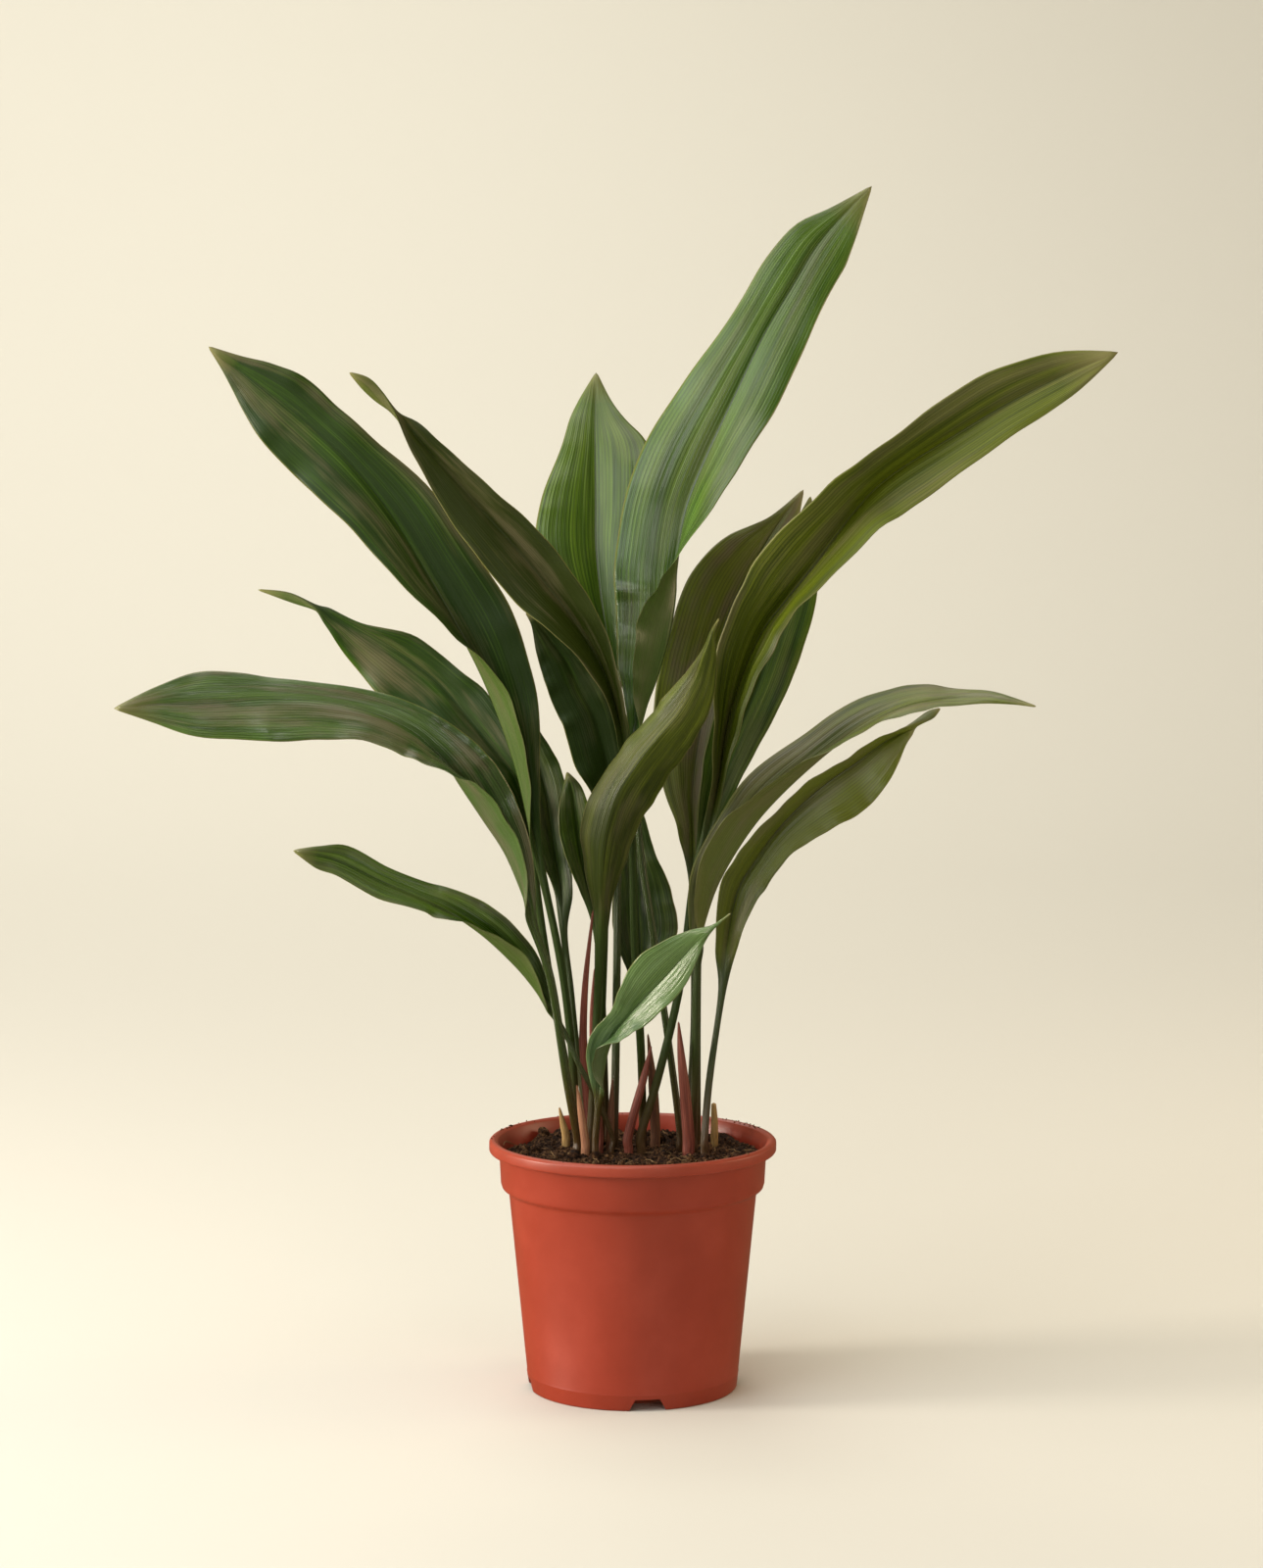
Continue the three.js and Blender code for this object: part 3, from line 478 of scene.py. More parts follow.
pale_wash = add_node(plastic, "Math", dusty_height, 0.05, operation="MULTIPLY")
tint = add_node(plastic, "Mix", pale_wash, tint, colour("#c9a58c"), data_type="RGBA")
pot_relief = add_node(plastic, "Bump", Height=grain, Strength=0.12, Distance=0.2 * MM)
pot_gloss = add_node(plastic, "Math", clouds, 0.12, 0.33, operation="MULTIPLY_ADD")
pot_shader = add_node(plastic, "BsdfPrincipled", Base_Color=tint, Roughness=pot_gloss, Normal=pot_relief,
                      IOR=1.49, Subsurface_Weight=0.05, Subsurface_Radius=(4 * MM, 1.5 * MM, 0.8 * MM))
finish_material(plastic, pot_shader)

# %% [markdown]
# Potting soil is mostly peat: nearly black when damp, brown where it has dried, with pale bits of
# bark and fibre. It has almost no gloss. The size of the noise is that of the crumbs, and a second,
# wider noise gives the dry patches.

# %% Soil and root materials
DRY_PATCH = 17 * MM


def crumbly(name, dark, middle, light, crumb_size):
    """Peat: two sizes of noise, for the crumbs and for the dry patches."""
    m = new_material(name)
    place = add_node(m, "TexCoord", output="Object")
    fine = add_node(m, "TexNoise", place, Scale=1 / crumb_size, Detail=6.0, Roughness=0.75)
    patches = add_node(m, "TexNoise", place, Scale=1 / DRY_PATCH, Detail=2.0, Roughness=0.5)
    tone = add_node(m, "Math", fine, 0.75, operation="MULTIPLY")
    tone = add_node(m, "Math", patches, 0.25, tone, operation="MULTIPLY_ADD")
    tint = add_node(m, "ValToRGB", tone, stops=[(0.42, dark), (0.52, middle), (0.63, light)])
    relief = add_node(m, "Bump", Height=fine, Strength=0.9, Distance=1.2 * MM)
    return finish_material(m, add_node(m, "BsdfPrincipled", Base_Color=tint, Roughness=0.95, Normal=relief,
                                       Specular_IOR_Level=0.2))


peat = crumbly("damp_peat", "#100905", "#382416", "#7c5c3c", 2.2 * MM)
crumb_peat = crumbly("peat_crumbs", "#1e120a", "#4c3422", "#8c6a46", 1.6 * MM)
bark = crumbly("rhizome_bark", "#3a2a1b", "#6a5238", "#947a56", 3.0 * MM)
root_skin = crumbly("root_fibre", "#54402a", "#8a6f4c", "#b59a70", 1.0 * MM)

# %% [markdown]
# The pot is turned from its outline: a pad under the middle, the foot ring, the sloping wall, the
# collar and the rolled lip, and back down the inside. A narrow bevel then rounds every edge, as a
# moulding has no sharp one. The pairs are the radius and the height in mm.

# %% The turned pot
RIM_RADIUS = 85
POT_HEIGHT = 149
SIDES = 160
EDGE_ROUNDING = 0.35 * MM
OUTSIDE = [(44, 0), (46, 6), (59.8, 6), (60, 0), (61.2, 0), (62, 0.8), (62.9, 8.9), (63.1, 9.5),
           (62.9, 10.3), (73.2, 115.5), (74, 118), (77.3, 120.5), (78.1, 123), (79.1, 141.5),
           (84.3, 141.7), (RIM_RADIUS, 142.7), (RIM_RADIUS, 147.4), (83.8, 148.7), (82, POT_HEIGHT)]
INSIDE = [(79.8, 147.8), (77.3, 141.5), (76.4, 122.5), (72.1, 117.5), (71.7, 113.5), (61.4, 10),
          (58.7, 7.5), (46.4, 7.5), (44.4, 1.5)]


def select_only(obj):
    """Makes this the only object selected, and the one that the operators work on."""
    bpy.ops.object.select_all(action="DESELECT")
    bpy.context.view_layer.objects.active = obj
    obj.select_set(True)


def apply_modifier(obj, kind, **settings):
    """Adds a modifier with these settings and applies it."""
    select_only(obj)
    modifier = obj.modifiers.new(kind.lower(), kind)
    for key, value in settings.items():
        setattr(modifier, key, value)
    bpy.ops.object.modifier_apply(modifier=modifier.name)


pot = lathe([(r * MM, z * MM) for r, z in OUTSIDE + INSIDE], SIDES)
bpy.ops.mesh.normals_make_consistent(inside=False)
end_edit(pot, "nursery_pot")
apply_modifier(pot, "BEVEL", width=EDGE_ROUNDING, segments=2, limit_method="ANGLE", angle_limit=radians(24))
print("turned pot:", len(pot.data.polygons), "faces")

# %% [markdown]
# Four notches in the foot let the water out sideways, and eight round holes let it out of the
# bottom. The mould leaves them open, so each is cut out with a boolean. A notch is narrower at its
# top, so its cutter is a cube whose top face is scaled down. Its middle lies 3 mm up and 3 mm in.

# %% Notches and drain holes
FOOT_HEIGHT = 6
BASE_RADIUS = 62.2
NOTCH_SIZE = (23, 12, 8)
NOTCH_TOP_WIDTH = 14.5
NOTCH_MIDDLE = (0, 3 - BASE_RADIUS, 3)
NOTCH_TURN = 8
HOLES = 8
HOLE_RADIUS = 4
HOLE_CIRCLE = 52.5


def cut(obj, cutter):
    """Cuts one object out of another, and deletes the cutter."""
    apply_modifier(obj, "BOOLEAN", operation="DIFFERENCE", object=cutter, solver="EXACT")
    bpy.data.objects.remove(cutter, do_unlink=True)


for quarter in range(4):
    tool = start_primitive(bpy.ops.mesh.primitive_cube_add, size=1)
    bpy.ops.transform.resize(value=[side * MM for side in NOTCH_SIZE])
    bpy.ops.mesh.select_all(action="DESELECT")
    bpy.ops.object.mode_set(mode="OBJECT")
    for face in tool.data.polygons:
        face.select = face.normal.z > 0.9
    bpy.ops.object.mode_set(mode="EDIT")
    bpy.ops.transform.resize(value=(NOTCH_TOP_WIDTH / NOTCH_SIZE[0], 1, 1))
    bpy.ops.mesh.select_all(action="SELECT")
    bpy.ops.transform.translate(value=[part * MM for part in NOTCH_MIDDLE])
    bpy.ops.object.mode_set(mode="OBJECT")
    tool.rotation_euler.z = radians(NOTCH_TURN + 90 * quarter)
    end_edit(tool, "notch_cutter")
    cut(pot, tool)
for k in range(HOLES):
    angle = radians(NOTCH_TURN + 360 / HOLES * (k + 0.5))
    place = (HOLE_CIRCLE * MM * cos(angle), HOLE_CIRCLE * MM * sin(angle), FOOT_HEIGHT * MM)
    tool = start_primitive(bpy.ops.mesh.primitive_cylinder_add, vertices=32, radius=HOLE_RADIUS * MM,
                           depth=20 * MM, location=place)
    end_edit(tool, "drain_cutter")
    cut(pot, tool)
print("pot with notches and holes:", len(pot.data.polygons), "faces")

# %% [markdown]
# The wall is smooth and the edges are crisp, so the shading is smooth with a crease where faces
# meet at a wide angle. The finished pot then rides on the body and takes the place of its solid.

# %% Finishing the pot
def smooth_shading(obj, degrees):
    """Shades the object smooth, with a crease where faces meet at more than this angle."""
    select_only(obj)
    bpy.ops.object.shade_smooth_by_angle(angle=radians(degrees))


smooth_shading(pot, 35)
pot.data.materials.append(plastic)
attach(pot, "root")
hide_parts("pot")
print("pot faces:", len(pot.data.polygons))

# %% [markdown]
# The soil is turned too, to fill the pot's inside, and its top is one fine fan of rings whose
# points are lifted by noise of several sizes: soft mounds, clods and crumbs. All its sizes are in
# mm. UNEVENNESS holds pairs of a size and how far it lifts the soil. MOUNDS holds the place, the
# spread and the height of each mound, and the one below zero is a hollow.

# %% Soil
SOIL_LEVEL = 139
HIGHEST_CLOD = 144
TOP_RADIUS = 75.6
SOIL_SIDES = 256
UNEVENNESS = ((15, 1.4), (6, 1.0), (2, 0.6))
MOUNDS = ((52, 44, 14, 2.4), (-44, 50, 13, 2.2), (20, -52, 16, -1.0))
SOIL_SIDE = [(43.9, 1.85), (45.9, 7.85), (58.2, 7.85), (60.9, 10.35), (71.2, 113.85), (71.6, 117.85),
             (75.7, 122.85), (76.2, 136.5)]


def clods(x, y, size):
    """1 in the middle of each clod, 0 in the gaps between them."""
    distances, _ = noise.voronoi(Vector((x / size, y / size, size)))
    return max(1 - 1.5 * distances[0], 0)


def soil_height(x, y):
    """Height of the soil in mm, at a place in mm."""
    slow = sin(x * 0.11 + 1.3) * cos(y * 0.13 - 0.4)
    height = SOIL_LEVEL + 1.2 * slow
    for size, lift in UNEVENNESS:
        height += lift * noise.noise(Vector((x / size, y / size, size)))
    height += 3.2 * clods(x, y, 9) + 1.8 * clods(x, y, 4.5) - 1.6
    for mound_x, mound_y, spread, lift in MOUNDS:
        height += lift * np.exp(-((x - mound_x) ** 2 + (y - mound_y) ** 2) / spread ** 2)
    return height


soil_rings = [(r, SOIL_LEVEL) for r in np.arange(TOP_RADIUS, 1.0, -1.0)]
soil = lathe([(r * MM, z * MM) for r, z in SOIL_SIDE + soil_rings], SOIL_SIDES)
bpy.ops.mesh.normals_make_consistent(inside=False)
end_edit(soil, "potting_soil")
for vertex in soil.data.vertices:
    x, y, z = vertex.co / MM
    if z > SOIL_LEVEL - 0.1:
        vertex.co.z = min(soil_height(x, y), HIGHEST_CLOD) * MM
smooth_shading(soil, 60)
soil.data.materials.append(peat)
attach(soil, "root")
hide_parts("soil")
print("soil faces:", len(soil.data.polygons))

# %% [markdown]
# Loose crumbs lie on top. Two crumbs are modelled, one with 20 faces and one with 80 for the clods,
# which are larger. Their copies are turned, stretched and placed by a generator with a fixed seed.
# All copies of one kind become one mesh, because thousands of separate objects would be slow.

# %% The crumb, and a function that strews it
CRUMB_REACH = 73.5
random = np.random.default_rng(7)


def crumb(detail):
    """Points and faces of one uneven crumb of about 1 mm, with 20 or 80 faces."""
    pattern = start_primitive(bpy.ops.mesh.primitive_ico_sphere_add, subdivisions=detail, radius=1)
    end_edit(pattern, "crumb_pattern")
    points = np.array([v.co for v in pattern.data.vertices])
    faces = np.array([f.vertices for f in pattern.data.polygons])
    points *= 1 + 0.24 * np.sin(points @ np.array([[5.1, 2.2, -3.0]]).T)
    bpy.data.objects.remove(pattern, do_unlink=True)
    return points, faces


def turned(points, angles):
    """Points turned about X, then about Z."""
    a, b = angles
    about_x = np.array([[1, 0, 0], [0, cos(a), -sin(a)], [0, sin(a), cos(a)]])
    about_z = np.array([[cos(b), -sin(b), 0], [sin(b), cos(b), 0], [0, 0, 1]])
    return points @ about_x.T @ about_z.T


def loose_piece(name, points, faces, material):
    """Makes a mesh object of these points, given in mm, that belongs to the soil."""
    mesh = bpy.data.meshes.new(name)
    mesh.from_pydata((np.concatenate(points) * MM).tolist(), [], np.concatenate(faces).tolist())
    obj = bpy.data.objects.new(name, mesh)
    bpy.context.collection.objects.link(obj)
    smooth_shading(obj, 50)
    obj.data.materials.append(material)
    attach(obj, "root")
    print(name, "pieces:", len(points), "faces:", len(mesh.polygons))


def scatter(name, pattern, places, sizes, material, shape=(1, 1, 1)):
    """Makes one mesh of many turned and stretched copies of the crumb. A long shape lies flat."""
    pattern_points, pattern_faces = pattern
    points, faces = [], []
    for place, size in zip(places, sizes):
        stretch = random.uniform(0.65, 1.25, 3) * size * np.array(shape)
        tilt = random.uniform(0, tau) if shape[0] == 1 else random.normal(0, 0.3)
        faces.append(pattern_faces + len(points) * len(pattern_points))
        points.append(turned(pattern_points * stretch, (tilt, random.uniform(0, tau))) + place)
    loose_piece(name, points, faces, material)


def places_on_soil(sizes, rise=0.25):
    """Random places on the soil, for pieces of these sizes, each raised by a share of its size."""
    reach = CRUMB_REACH * np.sqrt(random.uniform(0, 1, len(sizes)))
    around = random.uniform(0, tau, len(sizes))
    return [(r * cos(a), r * sin(a), soil_height(r * cos(a), r * sin(a)) + rise * s)
            for r, a, s in zip(reach, around, sizes)]


print("the crumbs lie up to", CRUMB_REACH, "mm from the middle")

# %% [markdown]
# The crumbs differ in size: most are fine, some are clods, and a few flat, long bits are bark.

# %% Crumbs, clods and bark bits on the soil
CRUMBS = 2200
CLODS = 99
BARK_BITS = 90
fine_crumb = crumb(1)
clod = crumb(2)
sizes = 0.4 + 1.3 * random.uniform(0, 1, CRUMBS) ** 2
scatter("soil_crumbs", fine_crumb, places_on_soil(sizes), sizes, crumb_peat)
sizes = random.uniform(1.6, 3.6, CLODS)
scatter("soil_clods", clod, places_on_soil(sizes), sizes, peat)
sizes = random.uniform(0.5, 1.1, BARK_BITS)
scatter("bark_bits", fine_crumb, places_on_soil(sizes, 0.9), sizes, bark, shape=(4.0, 1.3, 0.8))

# %% [markdown]
# Soil dust clings to the lip, mostly in two patches: at the back left and at the back right. The
# angles run anticlockwise from the right. Inwards of its crest the lip slopes down, and the dust with it.

# %% Soil dust on the lip
LIP_CREST = 82
lip_angles = np.concatenate([random.normal(radians(150), 0.14, 26), random.normal(radians(32), 0.16, 30),
                             random.uniform(0, tau, 24)])
lip_sizes = random.uniform(0.15, 0.5, len(lip_angles))
lip_radii = random.uniform(80.6, 83.6, len(lip_angles))
lip_places = [(r * cos(a), r * sin(a), POT_HEIGHT + 0.4 * s - 0.5 * max(LIP_CREST - r, 0))
              for r, a, s in zip(lip_radii, lip_angles, lip_sizes)]
scatter("lip_dirt", fine_crumb, lip_places, lip_sizes, crumb_peat)

# %% [markdown]
# Fine roots lie on the soil, and one has dried on the pot's inner wall. Each is a thin tube with
# five sides that wanders over the soil: its direction changes a little at each step.

# %% Fine roots
ROOTS = 36
ROOT_SIDES = 5
ROOT_START = 66
ROOT_REACH = 73
ROOT_STEP = 2
WALL_STEPS = 12


def root_thread(path, radius):
    """Points and faces of a thin tube along the path, pointed at both ends."""
    path = np.array(path)
    heading = np.gradient(path, axis=0)
    heading /= np.linalg.norm(heading, axis=1, keepdims=True)
    flat = np.cross(heading, (0, 0, 1))
    flat /= np.linalg.norm(flat, axis=1, keepdims=True) + 1e-9
    lift = np.cross(flat, heading)
    count = len(path)
    taper = np.clip(np.sin(np.linspace(0.12, pi - 0.12, count)) * 2, 0, 1) * radius
    points, faces = [], []
    for k in range(count):
        for side in range(ROOT_SIDES):
            a = tau * side / ROOT_SIDES
            points.append(path[k] + taper[k] * (cos(a) * flat[k] + sin(a) * lift[k]))
    for k in range(count - 1):
        for side in range(ROOT_SIDES):
            a, b = k * ROOT_SIDES + side, k * ROOT_SIDES + (side + 1) % ROOT_SIDES
            faces += [(a, b, b + ROOT_SIDES), (a, b + ROOT_SIDES, a + ROOT_SIDES)]
    for k in range(1, ROOT_SIDES - 1):
        last = (count - 1) * ROOT_SIDES
        faces += [(0, k + 1, k), (last, last + k, last + k + 1)]
    return np.array(points), np.array(faces)


def wandering(x, y, direction, steps):
    """A path over the soil from one place, in short steps."""
    path = []
    for step in range(steps):
        path.append((x, y, soil_height(x, y) + 0.5 + 0.9 * sin(pi * step / (steps - 1))))
        direction += random.normal(0, 0.35)
        x, y = x + ROOT_STEP * cos(direction), y + ROOT_STEP * sin(direction)
    return path


threads = []
while len(threads) < ROOTS:
    reach, angle = ROOT_START * random.uniform(0.1, 1) ** 0.5, random.uniform(0, tau)
    path = wandering(reach * cos(angle), reach * sin(angle), random.uniform(0, tau), random.integers(5, 10))
    if max(np.hypot(p[0], p[1]) for p in path) < ROOT_REACH:
        threads.append(root_thread(path, random.uniform(0.18, 0.34)))
wall_path = []
for step in range(WALL_STEPS):
    climb = step / (WALL_STEPS - 1)
    angle = radians(166 + 20 * climb)
    radius = 71.5 + 5.2 * climb ** 0.6
    wall_path.append((radius * cos(angle), radius * sin(angle), 141 + 5.6 * sin(pi * 0.62 * climb)))
threads.append(root_thread(wall_path, 0.3))
thread_points, thread_faces, total = [], [], 0
for points, faces in threads:
    thread_points.append(points)
    thread_faces.append(faces + total)
    total += len(points)
loose_piece("fine_roots", thread_points, thread_faces, root_skin)

# %% [markdown]
# Every leaf is one skin: a long stalk that widens into a blade with two wings either side of the
# midrib. It is described by rows from its foot in the soil to its tip, each row being the
# midrib's place in mm, and the width and the lift of the left and the right wing. The lift is the
# angle by which a wing leaves the plane that faces the front, so a wing can stand up, fold over
# or hang. A smooth curve is led through the rows. The mesh starts as a flat grid, which is wrapped
# round: half its width lies on the upper face, half on the underside, and each column follows the
# leaf lengthwise. That keeps the columns along the veins, where the ribs need them.

# %% A smooth curve through the rows


def through(table, t):
    """Points of a smooth curve through the rows, at places t counted in rows."""
    last = len(table) - 1
    i = np.minimum(np.floor(t).astype(int), last - 1)
    f = (t - i)[:, None]
    p0, p1, p2, p3 = (table[np.clip(i + k, 0, last)] for k in (-1, 0, 1, 2))
    a = -p0 + 3 * p1 - 3 * p2 + p3
    b = 2 * p0 - 5 * p1 + 4 * p2 - p3
    return 0.5 * (a * f ** 3 + b * f ** 2 + (p2 - p0) * f + 2 * p1)


def unit(v):
    return v / np.linalg.norm(v, axis=1, keepdims=True)


def smooth_step(low, high, v):
    k = np.clip((v - low) / (high - low), 0, 1)
    return k * k * (3 - 2 * k)


example_rows = np.array([[0.0], [1.0], [4.0]])
print("halfway between rows of 0 and 1, with 4 next:", through(example_rows, np.array([0.5]))[0, 0])

# %% [markdown]
# The stalk is nearly round and the blade is thin, so each point has a place for either, and the two
# are mixed by how wide the leaf is there. On top of that come a keel below the midrib and a groove
# above it, the arch of each wing, its ribs and the sway of its margin. Sizes are in mm, but ARCH is
# a share of the wing's width. The seed shifts the sway, so leaves are wavy in different places.

# %% The skin of a leaf
AROUND = 96
ALONG = 112
FRONT = np.array([0, -1, 0])
THINNEST = 0.4
STALK_RADIUS = 2.3
STALK_ROUND = 0.92
HALF_THICKNESS = 0.27
KEEL, KEEL_WIDTH = 0.75, 1.3
GROOVE, GROOVE_WIDTH = 0.22, 0.9
ARCH = 0.055
RIBS = 5
RIB_HEIGHT = 0.07


def skin_points(rows, u, v, seed):
    """The skin's points in mm, with the numbers that the material reads."""
    table = np.array(rows, float)
    last = len(table) - 1
    t = v * last
    state = through(table, t)
    middle = state[:, :3]
    after, before = through(table, np.minimum(t + 0.02, last)), through(table, np.maximum(t - 0.02, 0))
    along = unit((after - before)[:, :3])
    side = unit(np.cross(along, FRONT))
    face = np.cross(side, along)
    upper = u <= 0.5
    k = np.where(upper, 4 * u - 1, 3 - 4 * u)
    hand = np.where(k < 0, -1.0, 1.0)
    width = np.maximum(np.where(k < 0, state[:, 3], state[:, 5]), THINNEST)
    lift = np.radians(np.where(k < 0, state[:, 4], state[:, 6]))
    mean = (np.maximum(state[:, 3], THINNEST) + np.maximum(state[:, 5], THINNEST)) / 2
    blade = smooth_step(2.7, 9, mean)
    narrow = np.minimum(1, mean / 2.5)
    wing = np.abs(k)

    # how far out along the wing, and how far off it
    out = (1 - blade) * np.abs(np.cos(tau * u)) * width + blade * wing * width
    round_height = np.sin(tau * u) * STALK_RADIUS * narrow * STALK_ROUND
    thin = HALF_THICKNESS * np.sqrt(np.clip(1 - wing ** 10, 0, 1))
    keel = KEEL * np.exp(-(wing * width / KEEL_WIDTH) ** 2)
    groove = GROOVE * np.exp(-(wing * width / GROOVE_WIDTH) ** 2)
    flat_height = np.where(upper, thin - groove, -thin - keel)
    size = np.minimum(1, width / 18)
    lift_off = ARCH * width * 4 * wing * (1 - wing)
    fade = np.clip(6 * wing, 0, 1) * np.clip(6 * (1 - wing), 0, 1)
    rib = RIB_HEIGHT * size * np.cos(tau * RIBS * wing) * fade
    run = 4 * v + 0.37 * seed
    long_wave = np.sin(tau * (2.3 * run + 0.31 * hand))
    short_wave = 0.5 * np.sin(tau * (5.1 * run - 0.2 * hand))
    sway = size * wing ** 2 * (long_wave + short_wave)
    flat_height = flat_height + lift_off + rib + sway
    height = (1 - blade) * round_height + blade * flat_height

    # the ways out and up, with a smooth crest where the two wings meet
    out_way = hand[:, None] * side * np.cos(lift)[:, None] + face * np.sin(lift)[:, None]
    up_way = -hand[:, None] * side * np.sin(lift)[:, None] + face * np.cos(lift)[:, None]
    left_lift, right_lift = np.radians(state[:, 4]), np.radians(state[:, 6])
    crest = side * (np.sin(left_lift) - np.sin(right_lift))[:, None]
    crest = unit(crest + face * (np.cos(left_lift) + np.cos(right_lift))[:, None] + 1e-9)
    near = np.exp(-(k / 0.1) ** 2)[:, None]
    up_way = unit(up_way * (1 - near) + crest * near)
    end = ((v > 1e-6) & (v < 1 - 1e-6))[:, None]
    points = middle + end * (out_way * out[:, None] + up_way * height[:, None])
    under = np.where(upper, 0.0, 1.0)
    under[wing > 0.999] = 0.5
    return points, {"across": k, "along": v, "under": under, "blade": blade}


def wrap_skin(name, rows, seed, columns=AROUND, lengths=ALONG, look=(0, 0, 0, 0)):
    """Makes the leaf's mesh from a flat grid, and stores the numbers for its material."""
    obj = start_primitive(bpy.ops.mesh.primitive_grid_add, x_subdivisions=columns,
                          y_subdivisions=lengths, size=1)
    bpy.ops.object.mode_set(mode="OBJECT")
    mesh = obj.data
    flat = np.empty(len(mesh.vertices) * 3)
    mesh.vertices.foreach_get("co", flat)
    flat = flat.reshape(-1, 3) + 0.5
    u, v = np.round(flat[:, 0], 6), np.round(flat[:, 1], 6)
    points, numbers = skin_points(rows, u, v, seed)
    mesh.vertices.foreach_set("co", (points * MM).ravel())
    for key, value in zip(("tone", "pale_wash", "polish", "taupe_sheen_strength", "seed"), (*look, seed * 3.7)):
        numbers[key] = np.full(len(points), value)
    for key, values in numbers.items():
        layer = mesh.attributes.new(key, "FLOAT", "POINT")
        layer.data.foreach_set("value", values.astype(np.float32))
    bpy.ops.object.mode_set(mode="EDIT")
    bpy.ops.mesh.select_all(action="SELECT")
    bpy.ops.mesh.remove_doubles(threshold=0.01 * MM)
    bpy.ops.mesh.normals_make_consistent(inside=False)
    end_edit(obj, name)
    bpy.ops.object.shade_smooth()
    return obj


print("a leaf's skin has", AROUND, "columns and", ALONG, "rows")

# %% [markdown]
# The rows of the eighteen leaves. Left and right are as seen from the front. All that stands in the
# soil starts alike, upright to a little above it, so one function gives those first rows.

# %% Rows of the leaves
FOOT_LEVELS = (101.3, 131, 141.8)


def foot(x, y, radius, bend=151):
    """The first rows, from the foot in the soil up to the level of the first bend."""
    return [[x, y, z, radius, 0, radius, 0] for z in (*FOOT_LEVELS, bend)]


